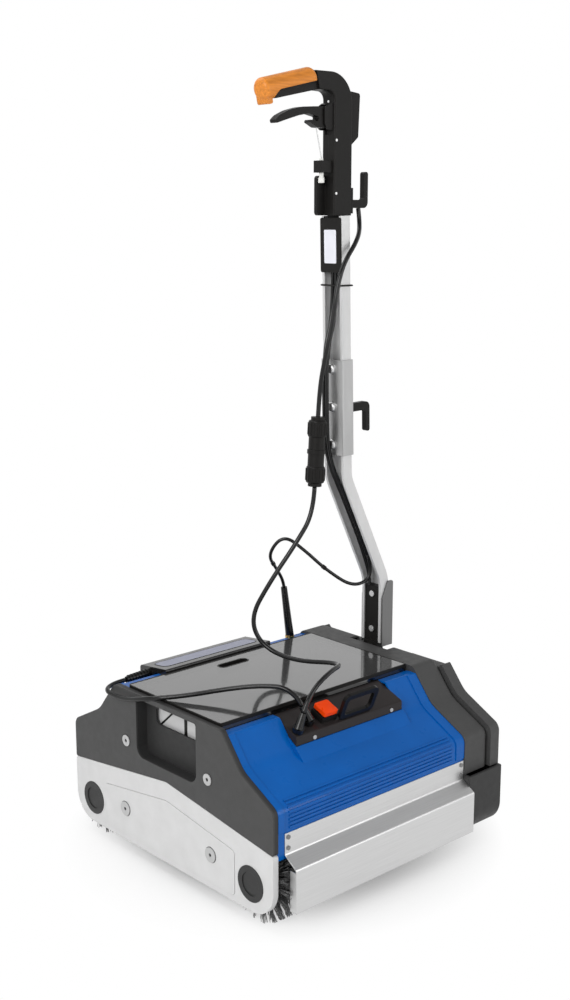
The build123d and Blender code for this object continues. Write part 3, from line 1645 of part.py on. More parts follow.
def head_body():
    """Whole head before it is split into two shells."""
    half = head_half_width
    head = head_column() + cornered_prism_y(ear_corners, ear_half_width)
    head += cornered_prism_y(box_corners, box_half_width)
    head += grip_rod(-tongue_root, grip_length(), tongue_radius) + grip_keel()
    adjuster_x_range = (adjuster_front_x, head_front_x + overcut)
    adjuster_y = (-adjuster_half_width, adjuster_half_width)
    head += block(adjuster_x_range, adjuster_y, (adjuster_bottom_z, adjuster_top_z))
    cheek = [
        (cheek_front_x, head_bottom_z),
        (head_front_x + cheek_root, head_bottom_z),
        (head_front_x + cheek_root, cheek_top_z),
        (cheek_front_x, cheek_top_z),
    ]
    head += prism_y(cheek, cheek_inner_y, half, [cheek_corner, 0, 0, cheek_corner])
    head += block((spigot_front_x, spigot_back_x), (-half, half), (spigot_bottom_z, head_bottom_z + overcut))
    pocket_y = (-lever_pocket_half_width, lever_pocket_half_width)
    head -= block(lever_pocket_x, pocket_y, lever_pocket_z)
    stem_z = (adjuster_bottom_z - overcut, adjuster_top_z + overcut)
    head -= rod_z(stem_z[0], stem_z[1], barrel_stem_radius + close_fit, adjuster_x, 0)
    pin_y = lever_pin_half_length() + close_fit
    head -= rod_y(-pin_y, pin_y, lever_pin_radius + close_fit, *lever_pivot)
    screw_end_y = head_screw_reach - half + close_fit
    for x, z in head_screw_points:
        head -= rod_y(-half - overcut, screw_end_y, head_screw_shank + close_fit, x, z)
    stop_x = (head_front_x - overcut, head_front_x + stop_screw_reach + close_fit)
    return head - rod_x(stop_x[0], stop_x[1], head_screw_shank + close_fit, 0, stop_screw_z)


def grip_flare_start():
    """Distance along the grip at which the cover starts to close round below."""
    return grip_length() - grip_skirt_length - grip_skirt_flare


def grip_keel():
    """Lower part of the arm that shows under the grip cover."""
    end = grip_flare_start() - keel_gap
    keel = [
        grip_place(-arm_gap, 0),
        grip_place(-arm_gap, -arm_under),
        grip_place(end, -keel_tip_under),
        grip_place(end, 0),
    ]
    return prism_y(keel, -keel_half_width, keel_half_width)


def lever_pin_half_length():
    """Half the length of the lever pin, which ends inside the ears."""
    return ear_half_width - lever_pin_inset


def head_shell(head, side):
    """One half of the head, split down the middle."""
    reach = head_split_reach
    y_range = sorted((0, side * reach))
    return head & block((-reach, reach), y_range, (spigot_bottom_z - overcut, head_corner_z + reach))


def grip_cover():
    """Orange sleeve, open below, with a full skirt and a closed end."""
    length = grip_length()
    low = -3 * grip_radius
    under = [
        grip_place(-overcut, -grip_split),
        grip_place(grip_flare_start(), -grip_split),
        grip_place(length - grip_skirt_length, low),
        grip_place(-overcut, low),
    ]
    bar = grip_rod(0, length, grip_radius)
    sleeve = fillet(bar.faces().sort_by(Axis.X)[-1].edges(), grip_root_round)
    sleeve -= prism_y(under, low, -low, [0, grip_skirt_radius, 0, 0])
    lip_z = -grip_radius - grip_lip
    lip = [
        grip_place(length - grip_lip_inset, 0),
        grip_place(length + grip_lip_reach, 0),
        grip_place(length + grip_lip_reach, lip_z),
        grip_place(length - grip_lip_inset, lip_z),
    ]
    lip_radii = [0, 0, grip_lip_radius, grip_lip_radius]
    sleeve += prism_y(lip, -grip_lip_half_width, grip_lip_half_width, lip_radii)
    sleeve -= grip_rod(-overcut, length, tongue_radius + nest_gap)
    cap = grip_rod(length, length + grip_cap_length, grip_radius)
    return sleeve + fillet(cap.faces().sort_by(Axis.X)[0].edges(), grip_cap_round)


def barrel_adjuster():
    """White knob and screw that take up the cable."""
    knob = rod_z(barrel_bottom_z, barrel_neck_z, barrel_radius, adjuster_x, 0)
    knob += rod_z(barrel_neck_z, adjuster_bottom_z, barrel_neck_radius, adjuster_x, 0)
    return knob + rod_z(adjuster_bottom_z, barrel_stem_top_z, barrel_stem_radius, adjuster_x, 0)


def trigger_lever():
    """Curved lever with a lower jaw for the cable."""
    lever = cornered_prism_y(lever_corners, lever_half_width)
    return lever - rod_y(-head_half_width, head_half_width, lever_pin_radius + running_fit, *lever_pivot)


def lug_screws():
    """Screws through the lug, the pole and the bracket."""
    screws = []
    for z in lug_screw_zs:
        head = rod_x(lug_front_x - lug_screw_head_height, lug_front_x, lug_screw_head_radius, 0, z)
        screws.append(head + rod_x(lug_front_x, bracket_back_x(), lug_screw_radius, 0, z))
    return screws


def splice_bolts():
    """Dome-headed bolts through the splice."""
    front_x, back_x = splice_faces()
    bolts = []
    for z in splice_bolt_zs:
        head = rod_x(front_x - splice_bolt_head_height, front_x, splice_bolt_head_radius, 0, z)
        head = fillet(head.faces().sort_by(Axis.X)[0].edges(), splice_bolt_dome)
        bolts.append(upper_frame * (head + rod_x(front_x, back_x, splice_bolt_radius, 0, z)))
    return bolts


def handle_screws():
    """Screws of the lug and the head, bolts of the splice, stop screw and pin of the lever."""
    screws = lug_screws() + splice_bolts()
    face_y = -head_half_width
    for x, z in head_screw_points:
        head = rod_y(face_y - head_screw_height, face_y, head_screw_radius, x, z)
        screws.append(head + rod_y(face_y, face_y + head_screw_reach, head_screw_shank, x, z))
    face_x = head_front_x
    stop = rod_x(face_x - head_screw_height, face_x, head_screw_radius, 0, stop_screw_z)
    screws.append(stop + rod_x(face_x, face_x + stop_screw_reach, head_screw_shank, 0, stop_screw_z))
    pin_y = lever_pin_half_length()
    screws.append(rod_y(-pin_y, pin_y, lever_pin_radius, *lever_pivot))
    return Compound(screws)


# Water valve


def dosing_valve():
    """Valve body that hangs from the crest of the rear hood."""
    inner_z = rear_crest_z - hood_wall
    body = rod_z(valve_bottom_z, inner_z - valve_neck_drop, valve_radius, valve_x, valve_y)
    body += rod_z(inner_z - valve_neck_drop, rear_crest_z, valve_neck_radius, valve_x, valve_y)
    body += rod_z(rear_crest_z, rear_crest_z + valve_nut_height, valve_nut_radius, valve_x, valve_y)
    bore = stem_radius + running_fit
    return body - rod_z(valve_bottom_z - overcut, valve_bore_top_z, bore, valve_x, valve_y)


def valve_stem():
    """Plunger that the cable lifts."""
    return rod_z(stem_bottom_z, stem_top_z, stem_radius, valve_x, valve_y)


def valve_boot():
    """Rubber boot where the cable enters the valve."""
    foot = valve_boot_foot()
    start = point(foot - valve_boot_axis() * valve_boot_sink)
    lean = rod(start, valve_boot_top, valve_boot_root, valve_boot_tip)
    reach = 3 * valve_boot_root
    below = Pos(foot.X, foot.Y, foot.Z - reach / 2) * Box(2 * reach, 2 * reach, reach)
    return lean - below


def valve_boot_foot():
    """Point where the axis of the boot meets the valve nut."""
    return Vector(valve_x, valve_y, rear_crest_z + valve_nut_height)


def valve_boot_axis():
    """Unit direction up the boot."""
    return (Vector(*valve_boot_top) - valve_boot_foot()).normalized()


# Cords


def bend_radii(points):
    """Radius at each inner point, from the shorter run beside it and the turn there."""
    radii = []
    for before, here, after in zip(points, points[1:], points[2:]):
        first = Vector(*here) - Vector(*before)
        second = Vector(*after) - Vector(*here)
        half_turn = math.radians(first.get_angle(second)) / 2
        radii.append(bend_share * min(first.length, second.length) / math.tan(half_turn))
    return radii


def cord(name, points, diameter):
    """Round cord along straight runs joined by arcs."""
    radii = bend_radii(points)
    route = FilletPolyline(*points, radius=radii)
    start = Plane(origin=route @ 0, z_dir=route % 0)
    tube = sweep(start * Circle(diameter / 2), path=route)
    shortest = min(radii)
    share = tube.volume / (math.pi * (diameter / 2) ** 2 * route.length)
    print(f"{name}: length {route.length:.1f}, least bend radius {shortest:.1f}, volume share {share:.4f}")
    return tube


def point(place):
    """Plain triple of a point."""
    return (place.X, place.Y, place.Z)


def gland_run(place, lean):
    """Mouth of a gland and the first route point beyond it."""
    mouth = gland_parts(place, lean)[2]
    ahead = mouth + Vector(*lean).normalized() * gland_lead
    return point(mouth), point(ahead)


def channel_slope():
    """Unit direction down the slanted part of the pole."""
    run = Vector(pole_lower_x - pole_upper_x, 0, pole_lower_knee_z - pole_upper_knee_z)
    return run.normalized()


def channel_x(z):
    """X of the cable in the slanted part of the pole at a height."""
    slope = channel_slope()
    front_x = pole_lower_x + (z - pole_lower_knee_z) * slope.X / slope.Z
    return front_x + cable_setback / abs(slope.Z)


def channel_cable_points(y):
    """Upper route of a cable in the pole: behind the lips, out before the splice and in again below it."""
    inside_x = pole_upper_x + cable_setback
    upright = [(inside_x, spigot_bottom_z), (inside_x, cable_leave_z)]
    upright += [(pole_upper_x - ahead, z) for ahead, z in cable_front_run]
    points = [on_upper_pole(x, y, z) for x, z in upright]
    return points + [(channel_x(cable_entry_z), y, cable_entry_z)]


def first_channel_cable():
    """Cable held in the pole, from the head to the lower knee."""
    points = channel_cable_points(0) + [(channel_x(channel_exit_z), 0, channel_exit_z)]
    return cord("channel cable", points, cable_diameter)


def second_channel_cable():
    """Cable beside the first, from the head to the lug at the pole foot."""
    points = channel_cable_points(second_cable_y)
    turn_x = channel_x(second_cable_turn_z)
    points += [(turn_x, second_cable_y, second_cable_turn_z), (turn_x, second_cable_y, lug_top_z)]
    return cord("second channel cable", points, cable_diameter)


def channel_cables():
    """Both cables held in the pole."""
    return Compound([first_channel_cable(), second_channel_cable()])


def valve_cable():
    """Free loop of the cable from the pole to the valve boot."""
    leave = Vector(channel_x(channel_exit_z), 0, channel_exit_z)
    turn = leave + channel_slope() * channel_lead
    above = Vector(*valve_boot_top) + valve_boot_axis() * valve_lead
    points = [point(leave), point(turn), *valve_cable_route, point(above), valve_boot_top]
    return cord("valve cable", points, cable_diameter)


def connector_axis():
    """Unit direction down the connector."""
    return (Vector(*connector_bottom) - Vector(*connector_top)).normalized()


def handle_cord_upper():
    """Cord from the upper hook to the connector."""
    above = Vector(*connector_top) - connector_axis() * connector_lead
    return cord("handle cord, upper", [*handle_cord_upper_route, point(above), connector_top], cord_diameter)


def handle_cord_lower():
    """Cord from the connector to the console."""
    mouth, ahead = gland_run(handle_gland, handle_gland_lean)
    below = Vector(*connector_bottom) + connector_axis() * connector_lead
    points = [connector_bottom, point(below), *handle_cord_lower_route, ahead, mouth]
    return cord("handle cord, lower", points, cord_diameter)


def console_cord():
    """Cord from the console to the rear console."""
    mouth, ahead = gland_run(console_gland, console_gland_lean)
    return cord("console cord", [mouth, ahead, *console_cord_route], cord_diameter)


def inline_connector():
    """Two-part connector with ribbed nuts at both ends."""
    top = Vector(*connector_top)
    axis = Vector(*connector_bottom) - top
    place = Plane(origin=top, z_dir=axis)

    def piece(start, end, radius):
        return place * Pos(0, 0, (start + end) / 2) * Cylinder(radius, end - start)

    length = axis.length
    body = piece(0, length, connector_neck_radius)
    body += piece(connector_body_inset, length - connector_body_inset, connector_body_radius)
    first = connector_nut_inset
    last = length - connector_nut_inset - connector_nut_length
    for start in (first, last):
        end = start + connector_nut_length
        nut = piece(start, end, connector_nut_radius)
        body += fillet(nut.edges().filter_by(GeomType.CIRCLE), connector_nut_edge)
        rib = Cylinder(connector_rib_radius, connector_nut_length - 2 * connector_rib_inset)
        for index in range(connector_ribs):
            turn = Rot(0, 0, index * 360 / connector_ribs)
            body += place * turn * Pos(connector_nut_radius, 0, (start + end) / 2) * rib
    band = connector_band_half_length
    return body + piece(length / 2 - band, length / 2 + band, connector_nut_radius)


def make_nodes():
    """Every piece of the machine by name."""
    front_brush = brush()
    head = head_body()
    return {
        "left_side_plate": left_side_plate(),
        "left_access_cover": left_access_cover(),
        "left_upper_panel": left_upper_panel(),
        "brush_end_caps": brush_end_caps(),
        "body_screws": body_screws(),
        "right_bulkhead": right_bulkhead(),
        "tie_rails": tie_rails(),
        "shaft_bearings": shaft_bearings(),
        "front_hood": front_hood(),
        "rear_hood": rear_hood(),
        "front_splash_guard": splash_guard(-1),
        "rear_splash_guard": splash_guard(1),
        "guard_rivets": guard_rivets(),
        "clean_water_tank": clean_water_tank(),
        "tank_lid": tank_lid(),
        "recovery_tray": recovery_tray(),
        "control_console": control_console(),
        "switch_base": switch_base(),
        "switch_rocker": switch_rocker(),
        "switch_hoop": switch_hoop(),
        "console_glands": console_glands(),
        "rear_console": rear_console(),
        "console_cord_boot": console_cord_boot(),
        "drive_cover": drive_cover(),
        "drive_outer_cover": drive_outer_cover(),
        "drive_foot": drive_foot(),
        "motor_housing": motor_housing(),
        "motor_rotor": motor_rotor(),
        "motor_pulley": motor_pulley(),
        "reversing_gear": reversing_gear(),
        "drive_belts": drive_belts(),
        "front_brush": front_brush,
        "front_brush_pulley": brush_pulley(-1),
        "rear_brush": Pos(0, 2 * brush_axis_y, 0) * front_brush,
        "rear_brush_pulley": brush_pulley(1),
        "front_drum": drum(-1),
        "rear_drum": drum(1),
        "handle_pivot_pin": handle_pivot_pin(),
        "pivot_lug": pivot_lug(),
        "handle_bracket": handle_bracket(),
        "lower_pole": lower_pole(),
        "upper_pole": upper_pole(),
        "pole_splice": pole_splice(),
        "cable_hooks": cable_hooks(),
        "label_plate": label_plate(),
        "head_shell_left": head_shell(head, 1),
        "head_shell_right": head_shell(head, -1),
        "grip_cover": grip_cover(),
        "handle_screws": handle_screws(),
        "barrel_adjuster": barrel_adjuster(),
        "trigger_lever": trigger_lever(),
        "dosing_valve": dosing_valve(),
        "valve_stem": valve_stem(),
        "valve_boot": valve_boot(),
        "channel_cables": channel_cables(),
        "valve_cable": valve_cable(),
        "handle_cord_upper": handle_cord_upper(),
        "inline_connector": inline_connector(),
        "handle_cord_lower": handle_cord_lower(),
        "console_cord": console_cord(),
    }


os.makedirs("parts", exist_ok=True)
for node_name, shape in make_nodes().items():
    export_step(shape, f"parts/{node_name}.step")
    print(f"{node_name}: {len(shape.solids())} solids, volume {shape.volume:.0f}")
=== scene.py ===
import json
import math
import random

import bmesh
import bpy
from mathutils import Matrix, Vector


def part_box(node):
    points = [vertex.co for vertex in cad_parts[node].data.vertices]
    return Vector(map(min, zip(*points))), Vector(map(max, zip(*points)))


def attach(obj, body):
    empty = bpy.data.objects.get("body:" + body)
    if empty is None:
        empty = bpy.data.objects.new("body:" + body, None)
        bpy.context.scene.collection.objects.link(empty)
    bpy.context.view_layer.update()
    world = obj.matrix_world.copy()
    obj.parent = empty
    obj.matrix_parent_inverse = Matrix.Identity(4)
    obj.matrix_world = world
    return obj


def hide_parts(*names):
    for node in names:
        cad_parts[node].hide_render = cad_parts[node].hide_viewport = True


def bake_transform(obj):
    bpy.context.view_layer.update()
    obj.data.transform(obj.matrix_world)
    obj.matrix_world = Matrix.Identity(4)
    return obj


# Floor scrubber: finishes, cords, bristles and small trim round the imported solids

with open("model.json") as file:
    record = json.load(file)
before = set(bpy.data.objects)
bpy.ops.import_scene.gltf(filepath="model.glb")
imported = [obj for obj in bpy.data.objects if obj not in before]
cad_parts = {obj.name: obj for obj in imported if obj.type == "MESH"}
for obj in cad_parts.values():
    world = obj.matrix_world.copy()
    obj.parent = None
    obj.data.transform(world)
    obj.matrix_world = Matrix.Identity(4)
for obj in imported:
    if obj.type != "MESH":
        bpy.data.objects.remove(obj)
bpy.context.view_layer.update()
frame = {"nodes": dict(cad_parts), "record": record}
nodes = frame["nodes"]

# Units and directions

MM = 0.001
full_turn = 2 * math.pi
quarter_turn = math.pi / 2
x_axis = Vector((1.0, 0.0, 0.0))
y_axis = Vector((0.0, 1.0, 0.0))
z_axis = Vector((0.0, 0.0, 1.0))


def metres(points):
    """Points in metres from millimetres."""
    return [tuple(part * MM for part in point) for point in points]


# Curve between display and linear colours

display_white = 255
curve_start = 0.04045
curve_slope = 12.92
curve_offset = 0.055
curve_power = 2.4

# Patterns of the finishes

even = (1.0, 1.0, 1.0)
noise_span = (0.3, 0.7)
strand_span = (0.38, 0.64)
pattern_detail = 5.0
strand_detail = 4.0
grain_detail = 3.0
grain_depth = 0.3 * MM
cord_grain_depth = 0.2 * MM
metal_grain_depth = 0.1 * MM
soft_edge = 0.7 * MM
cord_edge = 0.3 * MM
thin_edge = 0.1 * MM
edge_samples = 4
lid_sheet_depth = 4.5 * MM
lid_skirt_fade = 0.1 * MM
# Painted shade: depths behind the left side's outer face over which the carry recess turns darker
recess_shade_start = 0.5 * MM
recess_shade_end = 4.0 * MM

# Meshes

tube_sides = 14
corner_steps = 6
weld_reach = 0.0001 * MM

# Cords, with the points between which a free cord goes over from the still to the moving body

cord_diameter = 7.0 * MM
cable_diameter = 5.5 * MM
route_order = 3
route_resolution = 14
cord_bevel_resolution = 4
upper_cord_route = metres((
    (152.0, 0.0, 956.0), (155.0, -2.0, 930.0), (124.0, -27.0, 909.0), (88.0, -34.0, 876.0),
    (74.0, -35.0, 838.0), (70.0, -32.0, 795.0), (60.0, -26.0, 740.0), (62.1, -12.0, 691.9),
    (59.5, -12.0, 650.0),
))
lower_cord_route = metres((
    (53.0, -12.0, 545.0), (50.4, -12.0, 503.1), (18.5, -9.0, 462.0), (-15.5, 12.0, 404.0),
    (-39.5, 32.0, 347.0), (-27.5, 20.0, 303.0), (-11.5, -35.0, 288.0), (4.5, -127.0, 305.0),
    (-44.5, -147.0, 308.0), (-92.5, -157.0, 290.9), (-105.1, -157.0, 263.7),
))
console_cord_route = metres((
    (-91.5, -140.4, 266.1), (-99.0, -127.5, 292.1), (-123.5, -84.0, 290.0), (-155.5, -44.0, 281.0),
    (-197.5, -10.0, 272.5), (-233.5, 28.0, 266.5), (-238.0, 95.0, 248.0), (-238.0, 146.0, 254.0),
    (-190.5, 146.0, 254.0),
))
cable_knee = (181.4, 0.0, 414.0)
valve_cable_route = metres((
    cable_knee, (199.0, 0.0, 378.1), (162.5, 9.0, 360.0), (124.5, 36.0, 392.0),
    (98.5, 57.0, 424.0), (74.5, 82.0, 450.0), (57.5, 101.0, 416.0), (91.0, 117.0, 384.0),
    (109.7, 121.3, 359.9), (111.5, 121.3, 348.0),
))
pole_cable_run = (
    (106.1, 900.1), (108.6, 800.2), (88.9, 747.6), (89.7, 659.6), (93.1, 583.7), (131.8, 515.0),
)
second_cable_y = 7.0
second_cable_end = ((195.6, 385.0), (195.6, 360.0))
first_cable_route = metres([(x, 0.0, z) for x, z in pole_cable_run] + [cable_knee])
second_cable_route = metres([(x, second_cable_y, z) for x, z in pole_cable_run + second_cable_end])

# Brushes, each with its piece, node, body and seed of the random draws

core_radius = 24.0 * MM
core_ends_x = (-217.5 * MM, 142.5 * MM)
core_sides = 40
stub_radius = 10.0 * MM
tip_radius = 60.5 * MM
tip_scatter = 1.2 * MM
strand_radius = 0.6 * MM
strand_sides = 3
strand_taper = 0.7
strand_root = 1.0 * MM
strands_per_tuft = 7
tuft_margin = 5.0 * MM
tuft_spread = 4.0 * MM
tuft_width = 1.6 * MM
tuft_turn = 0.05
tufts_round = 18
rows_along = 50
row_stagger = 0.5
brushes = (
    ("front_bristles", "front_brush", "front_brush_unit", 11),
    ("rear_bristles", "rear_brush", "rear_brush_unit", 12),
)

# Labels

label_plate_thickness = 3.0 * MM
pole_label_size = (25.0 * MM, 49.0 * MM)
pole_label_corner = 2.0 * MM
pole_label_thickness = 0.4 * MM
pole_label_drop = 2.0 * MM
rear_console_top_z = 270.0 * MM
rear_console_fall = 8.0 * MM
rear_label_size = (188.0 * MM, 32.0 * MM)
rear_label_corner = 9.0 * MM
rear_label_thickness = 0.3 * MM
rear_label_line = 1.5 * MM
rear_label_line_height = 0.35 * MM

# Edge strip of the lid, and collar of its finger slot, whose walls down the slot are painted shade

lid_edge_depth = 5.0 * MM
lid_edge_width = 2.0 * MM
lid_edge_proud = 0.2 * MM
lid_edge_rise = 0.3 * MM
lid_edge_corners = (5.2 * MM, 2.0 * MM)
collar_x = -40.5 * MM
collar_y = 71.5 * MM
slot_shade_depth = 12.0 * MM
collar_rise = 0.2 * MM
collar_outer = (58.5 * MM, 18.5 * MM)
collar_inner = (53.2 * MM, 13.2 * MM)
collar_corners = (9.1 * MM, 6.5 * MM)

# Marks on the tank wall, each with its place along Y and Z, its directions and its size

tank_wall_inset = 4.0 * MM
tank_mark_corner = 1.0 * MM
tank_mark_thickness = 0.3 * MM
seam_run = 0.75
seam_rise = 0.66
upright = (-y_axis, z_axis)
slanted = ((0.0, -seam_run, seam_rise), (0.0, seam_rise, seam_run))
tank_marks = (
    ("tank_strap", -14.0 * MM, 230.0 * MM, upright, (7.0 * MM, 44.0 * MM)),
    ("tank_seam", 26.0 * MM, 231.0 * MM, slanted, (60.0 * MM, 3.0 * MM)),
)

# Side screws, each with its kind, the node that it is in, its place along Y and Z and its head's radius

# Painted shade in the screw sockets and a painted shadow round the screw heads
screw_socket_radius = 2.6 * MM
head_shadow_width = 0.8 * MM
screw_shade_height = 0.3 * MM
screw_shade_sink = 0.05 * MM
screw_ends = (("front", -1), ("rear", 1))
side_screws = (
    ("cover_screw", "left_access_cover", 101.0 * MM, 71.0 * MM, 11.0 * MM),
    ("panel_screw", "left_upper_panel", 95.5 * MM, 181.5 * MM, 8.5 * MM),
)

# Trigger wire and straps

wire_route = metres(((75.0, 0.0, 1026.0), (69.0, 0.0, 1050.0), (63.0, 0.0, 1073.0)))
wire_radius = 0.8 * MM
wire_sides = 8
nipple_route = metres(((62.5, -4.0, 1073.0), (62.5, 0.0, 1073.0), (62.5, 4.0, 1073.0)))
nipple_radius = 2.4 * MM
nipple_sides = 12
tie_front_x = 96.5 * MM
tie_back_x = 120.0 * MM
tie_side_y = 21.8 * MM
tie_z = 843.0 * MM
tie_corner = 3.0 * MM
tie_radius = 1.3 * MM
tie_sides = 8
loop_tie_shares = (0.328, 0.768)
loop_tie_reach = 1
loop_tie_height = 0.8 * MM

# Stage, light and camera; each light has its name, place, size and power

floor_reach = 12.0
floor_colour = (0.94, 0.94, 0.94, 1.0)
floor_rough = 0.9
shadow_reach = (0.16, 0.345)
ceiling_span = (0.35, 0.80)
ceiling_levels = (1.0, 0.45)
world_strength = 0.62
light_aim = Vector((0.0, 0.0, 0.35))
lights = (
    ("key", (-2.7, -0.9, 1.9), 1.6, 52.0),
    ("fill", (1.0, -2.8, 1.2), 1.8, 24.0),
    ("top", (-0.6, 1.2, 3.0), 2.0, 30.0),
)
camera_place = (-1.3033, -1.4340, 0.9389)
camera_lens = 47.72
camera_sensor_height = 36.0
level_tilt = 90.0
camera_fall = 11.94
camera_turn = -42.34


# Colours and shader helpers


def linear(value):
    """Linear value from a display value between 0 and 255."""
    share = value / display_white
    if share <= curve_start:
        return share / curve_slope
    return ((share + curve_offset) / (1.0 + curve_offset)) ** curve_power


def srgb(red, green, blue):
    """Linear colour from three display values."""
    return linear(red), linear(green), linear(blue), 1.0


def grey(value):
    """Neutral colour from one display value."""
    return srgb(value, value, value)


def shade(colour, factor):
    """The same colour, lighter or darker."""
    return tuple(min(1.0, part * factor) for part in colour[:3]) + (1.0,)


def stretched(along, share):
    """Scales of a pattern whose cells are longer along one axis."""
    return tuple(share if axis == along else 1.0 for axis in "XYZ")


class Shading:
    """A node tree under construction."""

    def __init__(self, tree):
        self.tree = tree

    def node(self, kind, **settings):
        """New node with its settings."""
        made = self.tree.nodes.new(kind)
        for key, value in settings.items():
            setattr(made, key, value)
        return made

    def link(self, source, target):
        """Connection from an output to an input."""
        self.tree.links.new(source, target)

    def remap(self, source, span, result, **settings):
        """Value moved from one span to another, held at its ends."""
        mapped = self.node("ShaderNodeMapRange", **settings)
        ends = {"From Min": span[0], "From Max": span[1], "To Min": result[0], "To Max": result[1]}
        for key, value in ends.items():
            mapped.inputs[key].default_value = value
        self.link(source, mapped.inputs["Value"])
        return mapped.outputs["Result"]

    def mixed(self, factor, first, second):
        """First shader where the factor is zero, second where it is one."""
        mix = self.node("ShaderNodeMixShader")
        for source, target in zip((factor, first, second), mix.inputs):
            self.link(source, target)
        return mix.outputs["Shader"]

    def background_ray(self):
        """One where a ray comes from the camera, a mirror-like or a clear surface, and zero elsewhere."""
        rays = self.node("ShaderNodeLightPath")
        total = rays.outputs["Is Camera Ray"]
        for kind in ("Is Glossy Ray", "Is Transmission Ray"):
            join = self.node("ShaderNodeMath", operation="MAXIMUM")
            self.link(total, join.inputs[0])
            self.link(rays.outputs[kind], join.inputs[1])
            total = join.outputs["Value"]
        return total


class Finish(Shading):
    """A material under construction, with its shader and pattern scales in cells per metre."""

    def __init__(self, name):
        self.material = bpy.data.materials.new(name)
        self.material.use_nodes = True
        super().__init__(self.material.node_tree)
        self.shader = self.tree.nodes["Principled BSDF"]
        self.colour = None

    def set(self, **values):
        """Constant values of shader sockets, with underscores for spaces."""
        for key, value in values.items():
            self.shader.inputs[key.replace("_", " ")].default_value = value

    def place(self):
        """Position in object space."""
        return self.node("ShaderNodeTexCoord").outputs["Object"]

    def place_along(self, axis):
        """Position along one axis of object space."""
        axes = self.node("ShaderNodeSeparateXYZ")
        self.link(self.place(), axes.inputs["Vector"])
        return axes.outputs[axis]

    def noise(self, scale, detail, stretch=even):
        """Noise in object space."""
        mapping = self.node("ShaderNodeMapping")
        mapping.inputs["Scale"].default_value = stretch
        self.link(self.place(), mapping.inputs["Vector"])
        texture = self.node("ShaderNodeTexNoise")
        texture.inputs["Scale"].default_value = scale
        texture.inputs["Detail"].default_value = detail
        self.link(mapping.outputs["Vector"], texture.inputs["Vector"])
        return texture.outputs["Fac"]

    def ramp(self, source, span, colours):
        """Colour that goes from the first to the second over a span of a value."""
        ramp = self.node("ShaderNodeValToRGB")
        for element, place, colour in zip(ramp.color_ramp.elements, span, colours):
            element.position = place
            element.color = colour
        self.link(source, ramp.inputs["Fac"])
        return ramp.outputs["Color"]

    def paint(self, colour):
        """Base colour from a pattern."""
        self.colour = colour
        self.link(colour, self.shader.inputs["Base Color"])

    def mottle(self, colour, amount, scale, stretch=even):
        """Base colour that drifts a little lighter and darker."""
        colours = (shade(colour, 1 - amount), shade(colour, 1 + amount))
        self.paint(self.ramp(self.noise(scale, pattern_detail, stretch), noise_span, colours))

    def tint(self, mask, colour):
        """A second colour over the base colour where the mask is one."""
        mix = self.node("ShaderNodeMix", data_type="RGBA")
        self.link(mask, mix.inputs["Factor"])
        self.link(self.colour, mix.inputs["A"])
        mix.inputs["B"].default_value = colour
        self.paint(mix.outputs["Result"])

    def gloss(self, rough, below, above, scale, stretch=even):
        """Roughness that drifts below and above a value."""
        spread = (rough - below, rough + above)
        value = self.remap(self.noise(scale, pattern_detail, stretch), noise_span, spread)
        self.link(value, self.shader.inputs["Roughness"])

    def grain(self, scale, strength, depth=grain_depth, stretch=even, edge=soft_edge):
        """Fine relief of the surface over softened edges."""
        soft = self.node("ShaderNodeBevel", samples=edge_samples)
        soft.inputs["Radius"].default_value = edge
        bump = self.node("ShaderNodeBump")
        bump.inputs["Strength"].default_value = strength
        bump.inputs["Distance"].default_value = depth
        self.link(self.noise(scale, grain_detail, stretch), bump.inputs["Height"])
        self.link(soft.outputs["Normal"], bump.inputs["Normal"])
        self.link(bump.outputs["Normal"], self.shader.inputs["Normal"])


# Materials


def moulded(name, colour, rough, relief, sheen=0.22, edge=soft_edge):
    """Moulded plastic with a fine grain."""
    finish = Finish(name)
    finish.mottle(colour, amount=0.03, scale=40.0)
    finish.gloss(rough, below=0.05, above=0.08, scale=90.0)
    finish.grain(scale=900.0, strength=relief, edge=edge)
    finish.set(Specular_IOR_Level=sheen)
    return finish


def glossy(name, colour, rough, sheen, coat=0.0):
    """Smooth plastic with faint ripples."""
    finish = Finish(name)
    finish.mottle(colour, amount=0.05, scale=25.0)
    finish.gloss(rough, below=0.04, above=0.05, scale=60.0)
    finish.grain(scale=260.0, strength=0.04)
    finish.set(Coat_Weight=coat, Coat_Roughness=0.06, Specular_IOR_Level=sheen)
    return finish


def brushed(name, colour, rough, along):
    """Brushed metal, with fine streaks along one axis."""
    finish = Finish(name)
    streaks = stretched(along, share=0.02)
    finish.mottle(colour, amount=0.04, scale=700.0, stretch=streaks)
    finish.gloss(rough, below=0.04, above=0.05, scale=900.0, stretch=streaks)
    finish.grain(scale=900.0, strength=0.05, depth=metal_grain_depth, stretch=streaks)
    finish.set(Metallic=1.0)
    return finish


def painted(name, colour, metallic, rough):
    """Satin lacquer on metal, with a little orange peel."""
    finish = Finish(name)
    finish.mottle(colour, amount=0.05, scale=60.0, stretch=stretched("Z", share=0.15))
    finish.gloss(rough, below=0.06, above=0.08, scale=120.0, stretch=stretched("Z", share=0.2))
    finish.grain(scale=350.0, strength=0.03)
    finish.set(Metallic=metallic)
    return finish


def streaked(name, colour, rough):
    """Soft plastic with darker streaks along X."""
    finish = Finish(name)
    streaks = stretched("X", share=0.05)
    finish.mottle(colour, amount=0.22, scale=320.0, stretch=streaks)
    finish.gloss(rough, below=0.05, above=0.08, scale=90.0)
    finish.grain(scale=500.0, strength=0.12, stretch=streaks)
    finish.set(Specular_IOR_Level=0.3)
    return finish


def rubber(name, colour, rough):
    """Smooth rubber or cable sheath."""
    finish = Finish(name)
    finish.mottle(colour, amount=0.08, scale=120.0)
    finish.gloss(rough, below=0.04, above=0.06, scale=200.0)
    finish.grain(scale=1800.0, strength=0.06, depth=cord_grain_depth, edge=cord_edge)
    finish.set(Specular_IOR_Level=0.35)
    return finish


